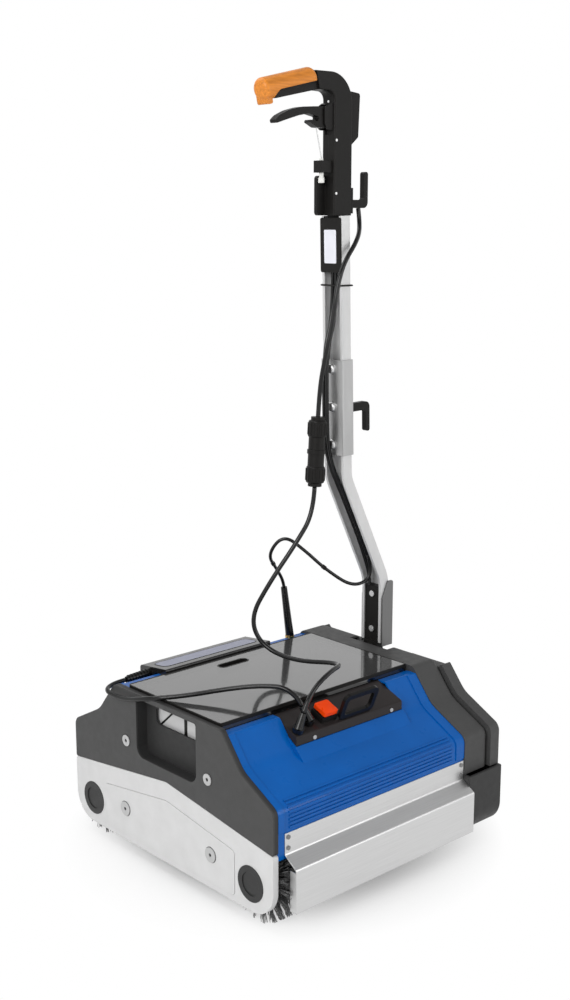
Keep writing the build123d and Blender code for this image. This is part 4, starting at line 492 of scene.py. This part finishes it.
def smoky(name, colour, rough, opacity, skirt_colour):
    """See-through sheet with a clear coat, over an opaque skirt of another colour."""
    finish = Finish(name)
    finish.mottle(colour, amount=0.05, scale=18.0)
    finish.gloss(rough, below=0.02, above=0.02, scale=40.0)
    finish.grain(scale=120.0, strength=0.02)
    finish.set(IOR=1.55, Coat_Weight=1.0, Coat_Roughness=0.05)
    sheet_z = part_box("tank_lid")[1].z - lid_sheet_depth
    skirt = finish.remap(finish.place_along("Z"), (sheet_z - lid_skirt_fade, sheet_z), (1.0, 0.0))
    finish.tint(skirt, skirt_colour)
    finish.link(finish.remap(skirt, (0.0, 1.0), (opacity, 1.0)), finish.shader.inputs["Alpha"])
    return finish


def nylon_strands(name, dark, light):
    """Nylon strands from dark to light."""
    finish = Finish(name)
    pattern = finish.noise(scale=420.0, detail=strand_detail)
    finish.paint(finish.ramp(pattern, strand_span, (dark, light)))
    finish.gloss(rough=0.45, below=0.10, above=0.15, scale=200.0)
    finish.grain(scale=900.0, strength=0.1, edge=thin_edge)
    return finish


def recess_shaded(finish, colour):
    """The finish with a darker colour behind the outer face of the left side, as painted shade in the carry
    recess.
    """
    face_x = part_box("left_upper_panel")[0].x
    span = (face_x + recess_shade_start, face_x + recess_shade_end)
    finish.tint(finish.remap(finish.place_along("X"), span, (0.0, 1.0)), colour)
    return finish


finishes = {
    "plate_grey": moulded("plate grey", grey(205), rough=0.45, relief=0.05),
    "panel_dark": moulded("panel dark", grey(68), rough=0.50, relief=0.30),
    "black_plastic": moulded("black plastic", srgb(24, 23, 22), rough=0.40, relief=0.20, sheen=0.14),
    "console_black": glossy("console black", srgb(44, 40, 40), rough=0.14, sheen=0.14),
    "hood_blue": glossy("hood blue", srgb(2, 88, 168), rough=0.30, sheen=0.06, coat=0.3),
    "smoky_lid": smoky("smoky lid", grey(72), rough=0.10, opacity=0.82, skirt_colour=grey(12)),
    "tank_white": moulded("tank white", grey(196), rough=0.40, relief=0.05),
    "orange": streaked("grip orange", srgb(210, 129, 46), rough=0.36),
    "white_plastic": moulded("white plastic", srgb(226, 226, 222), rough=0.35, relief=0.10),
    "pole_grey": painted("pole grey", grey(204), metallic=0.35, rough=0.36),
    "steel": brushed("steel", grey(205), rough=0.38, along="X"),
    "alloy": painted("alloy", grey(165), metallic=0.8, rough=0.40),
    "brass": brushed("brass", srgb(196, 160, 92), rough=0.30, along="X"),
    "gear_nylon": moulded("gear nylon", srgb(206, 200, 180), rough=0.45, relief=0.15),
    "bristle": nylon_strands("bristle", dark=grey(34), light=grey(118)),
    "black_rubber": rubber("black rubber", grey(13), rough=0.20),
    "switch_orange": glossy("switch orange", srgb(242, 70, 10), rough=0.30, sheen=0.15),
    # Side panel with painted shade darkening its carry recess
    "side_panel": recess_shaded(moulded("side panel", grey(68), rough=0.50, relief=0.30), grey(48)),
    "bracket_steel": brushed("bracket steel", grey(114), rough=0.38, along="Z"),
    "screw_steel": brushed("screw steel", grey(214), rough=0.35, along="Y"),
    "side_screw": painted("side screw", grey(182), metallic=0.2, rough=0.40),
    "splice_steel": painted("splice steel", grey(172), metallic=0.7, rough=0.34),
    # Rivets darkened to stand in for the shadows beside them: painted shade
    "rivet_shade_grey": painted("rivet grey with painted shade", grey(118), metallic=0.3, rough=0.34),
    "glossy_black": glossy("glossy black", srgb(19, 18, 17), rough=0.30, sheen=0.12),
    "blank_label": moulded("blank label", srgb(224, 225, 232), rough=0.50, relief=0.02, edge=thin_edge),
    "violet_label": moulded("violet label", srgb(138, 141, 160), rough=0.35, relief=0.02, edge=thin_edge),
    "cap_black": moulded("cap black", grey(47), rough=0.40, relief=0.20),
    "foot_dark": moulded("foot dark", grey(50), rough=0.50, relief=0.30),
    "rear_black": glossy("rear black", srgb(26, 25, 25), rough=0.20, sheen=0.5),
}
looks = {key: finish.material for key, finish in finishes.items()}

own_look = {
    "switch_rocker": "switch_orange",
    "switch_hoop": "glossy_black",
    "handle_bracket": "bracket_steel",
    "left_upper_panel": "side_panel",
    "body_screws": "side_screw",
    "handle_screws": "screw_steel",
    "pole_splice": "splice_steel",
    "guard_rivets": "rivet_shade_grey",
    "brush_end_caps": "cap_black",
    "drive_foot": "foot_dark",
    "rear_console": "rear_black",
}


def dress_nodes():
    """Every CAD node takes the look of its slot, or its own."""
    for entry in frame["record"]["subparts"]:
        look = looks[own_look.get(entry["node"], entry["material_slot"])]
        mesh = nodes[entry["node"]].data
        mesh.materials.clear()
        mesh.materials.append(look)


# Objects and meshes


def add_object(name, data):
    """New object in the scene, in the frame of the CAD."""
    made = bpy.data.objects.new(name, data)
    bpy.context.scene.collection.objects.link(made)
    return made


def add_piece(name, data, look):
    """New object with a look."""
    piece = add_object(name, data)
    piece.data.materials.append(looks[look])
    return piece


def add_fixed(name, data, look, body):
    """New object that moves with one body."""
    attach(add_piece(name, data, look), body)


def finished_mesh(name, shape):
    """Mesh from a built shape."""
    mesh = bpy.data.meshes.new(name)
    shape.to_mesh(mesh)
    shape.free()
    return mesh


def add_ring(shape, place, side, across, radius, sides):
    """Closed ring of vertices round a place, in the plane of two directions."""
    ring = []
    for corner in range(sides):
        angle = full_turn * corner / sides
        offset = side * math.cos(angle) + across * math.sin(angle)
        ring.append(shape.verts.new(place + offset * radius))
    return ring


def join_rings(shape, rings, smooth=True):
    """Faces between neighbouring closed rings of vertices."""
    for ring, following in zip(rings, rings[1:]):
        count = len(ring)
        for corner in range(count):
            nearby = (corner + 1) % count
            face = shape.faces.new((ring[corner], ring[nearby], following[nearby], following[corner]))
            face.smooth = smooth


def tube_mesh(name, head_shadow, radius, sides=tube_sides):
    """Closed tube along a line, with rings that don't twist."""
    shape = bmesh.new()
    tangent = (head_shadow[1] - head_shadow[0]).normalized()
    side = tangent.orthogonal().normalized()
    rings = []
    for index, place in enumerate(head_shadow):
        before = head_shadow[max(index - 1, 0)]
        after = head_shadow[min(index + 1, len(head_shadow) - 1)]
        turned = (after - before).normalized()
        side = (tangent.rotation_difference(turned) @ side).normalized()
        side = (side - turned * side.dot(turned)).normalized()
        tangent = turned
        rings.append(add_ring(shape, place, side, turned.cross(side), radius, sides))
    join_rings(shape, rings)
    shape.faces.new(rings[0][::-1])
    shape.faces.new(rings[-1])
    return finished_mesh(name, shape)


# Making of the cords


def route_curve(name, points):
    """Smooth open curve with a cord's route points as its control points."""
    data = bpy.data.curves.new(name, "CURVE")
    data.dimensions = "3D"
    data.resolution_u = route_resolution
    spline = data.splines.new("NURBS")
    spline.points.add(len(points) - 1)
    for control, place in zip(spline.points, points):
        control.co = (*place, 1.0)
    spline.order_u = route_order
    spline.use_endpoint_u = True
    return data


def route_line(points):
    """Points along the smooth curve of a route."""
    guide_data = route_curve("route guide", points)
    guide = add_object("route guide", guide_data)
    traced = bpy.data.meshes.new_from_object(guide)
    head_shadow = [vertex.co.copy() for vertex in traced.vertices]
    bpy.data.meshes.remove(traced)
    bpy.data.objects.remove(guide)
    bpy.data.curves.remove(guide_data)
    return head_shadow


def line_length(head_shadow):
    """Length of a line of points."""
    return sum((end - start).length for start, end in zip(head_shadow, head_shadow[1:]))


def fixed_cord(name, node, points, diameter, body):
    """Round cord along its route that stays with one body."""
    data = route_curve(name, points)
    data.bevel_depth = diameter / 2
    data.bevel_resolution = cord_bevel_resolution
    data.use_fill_caps = True
    cord = add_piece(name, data, "black_rubber")
    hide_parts(node)
    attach(cord, body)
    return cord


def bending_cord(name, node, points, diameter):
    """Round tube along a cord's route, left where it lies and attached to no body."""
    head_shadow = route_line(points)
    cord = add_piece(name, tube_mesh(name, head_shadow, diameter / 2), "black_rubber")
    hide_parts(node)
    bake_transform(cord)


def make_cords():
    """The free cords, and the cables held in the pole."""
    upper = fixed_cord("mains_cord_upper", "handle_cord_upper", upper_cord_route, cord_diameter, "handle")
    line_length(route_line(upper_cord_route))
    bending_cord(
        "mains_cord_lower", "handle_cord_lower", lower_cord_route, cord_diameter,
    )
    bending_cord(
        "console_lead", "console_cord", console_cord_route, cord_diameter,
    )
    bending_cord(
        "valve_cable_loop", "valve_cable", valve_cable_route, cable_diameter,
    )
    for name, route in (("pole_cable_first", first_cable_route), ("pole_cable_second", second_cable_route)):
        fixed_cord(name, "channel_cables", route, cable_diameter, "handle")


# Brush cores and bristles


def outward(angle):
    """Direction away from a brush's axis."""
    return Vector((0.0, math.cos(angle), math.sin(angle)))


def brush_core(shape, stub_ends_x, axis):
    """Core and end stubs as turned steps along X."""
    steps = (
        (stub_ends_x[0], 0.0), (stub_ends_x[0], stub_radius), (core_ends_x[0], stub_radius),
        (core_ends_x[0], core_radius), (core_ends_x[1], core_radius), (core_ends_x[1], stub_radius),
        (stub_ends_x[1], stub_radius), (stub_ends_x[1], 0.0),
    )
    rings = []
    for x, radius in steps:
        rings.append(add_ring(shape, axis + x_axis * x, y_axis, z_axis, radius, core_sides))
    join_rings(shape, rings)


def strand(shape, root, tip):
    """Three-sided tapering strand between two points."""
    along = (tip - root).normalized()
    side = along.orthogonal().normalized()
    across = along.cross(side)
    rings = []
    for place, radius in ((root, strand_radius), (tip, strand_radius * strand_taper)):
        rings.append(add_ring(shape, place, side, across, radius, strand_sides))
    join_rings(shape, rings)
    shape.faces.new(rings[1])


def tuft(shape, draw, middle, angle):
    """Bunch of strands that spread from one root and end at the floor or the tip radius."""
    for _ in range(strands_per_tuft):
        turn = angle + draw.uniform(-tuft_turn, tuft_turn)
        lean = turn + draw.uniform(-tuft_turn, tuft_turn)
        aside = draw.uniform(-1.0, 1.0)
        root = middle + x_axis * (aside * tuft_width) + outward(turn) * (core_radius - strand_root)
        reach = tip_radius - draw.uniform(0.0, tip_scatter)
        tip = middle + x_axis * (aside * tuft_spread) + outward(lean) * reach
        if tip.z < 0.0:
            tip = root.lerp(tip, root.z / (root.z - tip.z))
        strand(shape, root, tip)


def make_brush(name, node, body, seed):
    """Core with many fine strands in staggered rows, level with the floor."""
    draw = random.Random(seed)
    low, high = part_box(node)
    axis = Vector((0.0, (low.y + high.y) / 2, high.z - tip_radius))
    shape = bmesh.new()
    brush_core(shape, (low.x, high.x), axis)
    pitch = (core_ends_x[1] - core_ends_x[0] - 2 * tuft_margin) / (rows_along - 1)
    for row in range(rows_along):
        middle = axis + x_axis * (core_ends_x[0] + tuft_margin + row * pitch)
        for index in range(tufts_round):
            tuft(shape, draw, middle, full_turn * (index + row_stagger * (row % 2)) / tufts_round)
    bmesh.ops.remove_doubles(shape, verts=shape.verts, dist=weld_reach)
    piece = add_piece(name, finished_mesh(name, shape), "bristle")
    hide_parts(node)
    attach(piece, body)


# Plates and frames


def grown(size, margin):
    """Size with a margin added on every side."""
    return tuple(part + 2 * margin for part in size)


def round_size(radius):
    """Size of the square round a circle."""
    return 2 * radius, 2 * radius


def rounded_outline(centre, across, upward, size, corner):
    """Points round a rectangle with round corners."""
    half_width = size[0] / 2 - corner
    half_height = size[1] / 2 - corner
    outline = []
    for quarter, (right, top) in enumerate(((1, 1), (-1, 1), (-1, -1), (1, -1))):
        for step in range(corner_steps + 1):
            angle = quarter_turn * (quarter + step / corner_steps)
            aside = right * half_width + corner * math.cos(angle)
            above = top * half_height + corner * math.sin(angle)
            outline.append(centre + across * aside + upward * above)
    return outline


def slab_mesh(name, outline, offset):
    """Closed slab from an outline and the same outline moved by an offset."""
    shape = bmesh.new()
    low = [shape.verts.new(place) for place in outline]
    high = [shape.verts.new(place + offset) for place in outline]
    join_rings(shape, (low, high), smooth=False)
    shape.faces.new(low[::-1])
    shape.faces.new(high)
    return finished_mesh(name, shape)


def frame_mesh(name, outer, inner, offset):
    """Closed frame between two outlines of as many points, with a thickness."""
    shape = bmesh.new()
    still = Vector()
    rings = []
    for outline, move in ((outer, still), (outer, offset), (inner, offset), (inner, still), (outer, still)):
        rings.append([shape.verts.new(place + move) for place in outline])
    join_rings(shape, rings, smooth=False)
    bmesh.ops.remove_doubles(shape, verts=shape.verts, dist=weld_reach)
    return finished_mesh(name, shape)


def add_plate(name, centre, directions, size, corner, thickness, look, body):
    """Thin plate with round corners, given by its middle, two directions and its size."""
    across, upward = (Vector(direction).normalized() for direction in directions)
    outline = rounded_outline(Vector(centre), across, upward, size, corner)
    add_fixed(name, slab_mesh(name, outline, across.cross(upward) * thickness), look, body)


def add_frame(name, centre, directions, sizes, corners, thickness, look, body):
    """Thin frame with round corners between an outer and an inner size."""
    across, upward = (Vector(direction).normalized() for direction in directions)
    outer, inner = (
        rounded_outline(Vector(centre), across, upward, size, corner) for size, corner in zip(sizes, corners)
    )
    add_fixed(name, frame_mesh(name, outer, inner, across.cross(upward) * thickness), look, body)


# Small trim


def make_pole_label():
    """Bare label on its plate on the pole."""
    low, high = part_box("label_plate")
    lean = Vector((low.x - high.x + label_plate_thickness, 0.0, high.z - low.z)).normalized()
    face_x = (low.x + high.x - label_plate_thickness) / 2
    middle = Vector((face_x, 0.0, (low.z + high.z) / 2)) - lean * pole_label_drop
    add_plate(
        "pole_label", middle, (-y_axis, lean), pole_label_size, pole_label_corner, pole_label_thickness,
        "blank_label", "handle",
    )


def make_rear_label():
    """Bare label with a dark line round it on the sloping top of the rear console."""
    low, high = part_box("rear_console")
    slope = (x_axis, (0.0, high.y - low.y, -rear_console_fall))
    middle = ((low.x + high.x) / 2, (low.y + high.y) / 2, rear_console_top_z - rear_console_fall / 2)
    add_plate(
        "rear_console_label", middle, slope, rear_label_size, rear_label_corner, rear_label_thickness,
        "violet_label", "chassis",
    )
    sizes = (grown(rear_label_size, rear_label_line), rear_label_size)
    corners = (rear_label_corner + rear_label_line, rear_label_corner)
    add_frame(
        "rear_console_label_edge", middle, slope, sizes, corners, rear_label_line_height,
        "black_plastic", "chassis",
    )


def make_lid_edge():
    """Black strip round the edge of the lid, and a black collar in its finger slot: a rim on the lid, with
    walls down the slot that are painted shade.
    """
    low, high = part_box("tank_lid")
    level = (x_axis, y_axis)
    middle = ((low.x + high.x) / 2, (low.y + high.y) / 2, high.z - lid_edge_depth)
    outer = grown((high.x - low.x, high.y - low.y), lid_edge_proud)
    add_frame(
        "lid_edge", middle, level, (outer, grown(outer, -lid_edge_width)), lid_edge_corners,
        lid_edge_depth + lid_edge_rise, "black_plastic", "lid",
    )
    # The collar's rim is a black ring on the lid, and its walls darken the slot as painted shade
    add_frame(
        "lid_slot_collar", (collar_x, collar_y, high.z - slot_shade_depth), level, (collar_outer, collar_inner),
        collar_corners, slot_shade_depth + collar_rise, "black_plastic", "lid",
    )


def make_tank_marks():
    """Dark strap and seam on the tank wall behind the hand opening."""
    face_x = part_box("clean_water_tank")[0].x + tank_wall_inset
    for name, y, z, directions, size in tank_marks:
        add_plate(
            name, (face_x, y, z), directions, size, tank_mark_corner, tank_mark_thickness,
            "black_plastic", "chassis",
        )


def make_screw_shade():
    """Painted shade as dark floors in the sockets of the side screws, and a painted shadow as a dark ring
    round their heads.
    """
    leftward = (y_axis, -z_axis)
    for kind, carrier, y, z, inner in side_screws:
        face_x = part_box(carrier)[0].x + screw_shade_sink
        outer = inner + head_shadow_width
        for end, side in screw_ends:
            add_plate(
                f"{kind}_socket_shade_{end}", (face_x - screw_shade_height, side * y, z), leftward,
                round_size(screw_socket_radius), screw_socket_radius, screw_shade_height,
                "glossy_black", "chassis",
            )
            add_frame(
                f"{kind}_line_{end}", (face_x, side * y, z), leftward,
                (round_size(outer), round_size(inner)), (outer, inner), screw_shade_height,
                "cap_black", "chassis",
            )


def make_wire():
    """Wire from the cable adjuster to the jaw of the lever, with its nipple."""
    wire = tube_mesh("trigger_wire", route_line(wire_route), wire_radius, wire_sides)
    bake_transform(add_piece("trigger_wire", wire, "steel"))
    nipple = tube_mesh("trigger_nipple", route_line(nipple_route), nipple_radius, nipple_sides)
    add_fixed("trigger_nipple", nipple, "white_plastic", "lever")


def make_tie():
    """Strap round the pole and its cables."""
    half = (
        (tie_front_x, 0.0), (tie_front_x, tie_side_y - tie_corner), (tie_front_x, tie_side_y),
        (tie_front_x + tie_corner, tie_side_y), (tie_back_x - tie_corner, tie_side_y),
        (tie_back_x, tie_side_y), (tie_back_x, tie_side_y - tie_corner),
    )
    points = [(x, -y, tie_z) for x, y in half] + [(x, y, tie_z) for x, y in reversed(half)]
    strap = tube_mesh("cable_tie", route_line(points), tie_radius, tie_sides)
    add_fixed("cable_tie", strap, "black_plastic", "handle")


def make_loop_ties():
    """Small straps on the free loop of the valve cable."""
    head_shadow = route_line(valve_cable_route)
    for index, share in enumerate(loop_tie_shares):
        middle = round(share * (len(head_shadow) - 1))
        stretch = head_shadow[middle - loop_tie_reach:middle + loop_tie_reach + 1]
        name = f"loop_tie_{index}"
        strap = tube_mesh(name, stretch, cable_diameter / 2 + loop_tie_height)
        piece = add_piece(name, strap, "black_plastic")
        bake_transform(piece)


def make_trim():
    """Small pieces that only the looks need."""
    make_pole_label()
    make_rear_label()
    make_lid_edge()
    make_tank_marks()
    make_screw_shade()
    make_wire()
    make_tie()
    make_loop_ties()


# Floor, world, lights and camera


def floor_finish():
    """Pale floor that keeps the object's shadow and turns plain white farther out."""
    finish = Finish("floor")
    finish.set(Base_Color=floor_colour, Roughness=floor_rough, Specular_IOR_Level=0.0)
    distance = finish.node("ShaderNodeVectorMath", operation="LENGTH")
    finish.link(finish.place(), distance.inputs[0])
    far_white = finish.node("ShaderNodeMath", operation="MULTIPLY")
    finish.link(finish.remap(distance.outputs["Value"], shadow_reach, (0.0, 1.0)), far_white.inputs[0])
    finish.link(finish.background_ray(), far_white.inputs[1])
    pale = finish.shader.outputs["BSDF"]
    white = finish.node("ShaderNodeEmission").outputs["Emission"]
    surface = finish.mixed(far_white.outputs["Value"], pale, white)
    finish.link(surface, finish.tree.nodes["Material Output"].inputs["Surface"])
    return finish


def make_floor():
    """Wide square floor under the object."""
    corners = ((-1, -1), (1, -1), (1, 1), (-1, 1))
    shape = bmesh.new()
    shape.faces.new([shape.verts.new((x * floor_reach, y * floor_reach, 0.0)) for x, y in corners])
    floor = add_object("floor", finished_mesh("floor", shape))
    floor.data.materials.append(floor_finish().material)


def make_world():
    """Soft light from all round under a greyer ceiling, and white where it is seen near the horizon."""
    world = bpy.data.worlds.new("studio")
    bpy.context.scene.world = world
    world.use_nodes = True
    shading = Shading(world.node_tree)
    axes = shading.node("ShaderNodeSeparateXYZ")
    shading.link(shading.node("ShaderNodeTexCoord").outputs["Generated"], axes.inputs["Vector"])
    ceiling = shading.remap(axes.outputs["Z"], ceiling_span, ceiling_levels, interpolation_type="SMOOTHSTEP")
    light = shading.tree.nodes["Background"]
    light.inputs["Strength"].default_value = world_strength
    white = shading.node("ShaderNodeBackground")
    for background in (light, white):
        shading.link(ceiling, background.inputs["Color"])
    sky = shading.mixed(shading.background_ray(), light.outputs["Background"], white.outputs["Background"])
    shading.link(sky, shading.tree.nodes["World Output"].inputs["Surface"])


def make_lights():
    """Soft boxes from the front left, the front right and above."""
    for name, place, size, power in lights:
        data = bpy.data.lights.new(name, "AREA")
        data.size = size
        data.energy = power
        light = add_object(name, data)
        light.location = place
        light.rotation_euler = (light_aim - Vector(place)).to_track_quat("-Z", "Y").to_euler()


def make_camera():
    """Camera at the place and angle of the photograph."""
    data = bpy.data.cameras.new("camera")
    data.sensor_fit = "VERTICAL"
    data.sensor_height = camera_sensor_height
    data.lens = camera_lens
    camera = add_object("camera", data)
    camera.location = camera_place
    camera.rotation_euler = (math.radians(level_tilt - camera_fall), 0.0, math.radians(camera_turn))
    bpy.context.scene.camera = camera


dress_nodes()
make_cords()
for brush in brushes:
    make_brush(*brush)
make_trim()
make_floor()
make_world()
make_lights()
make_camera()
bpy.context.scene.view_settings.view_transform = "Standard"
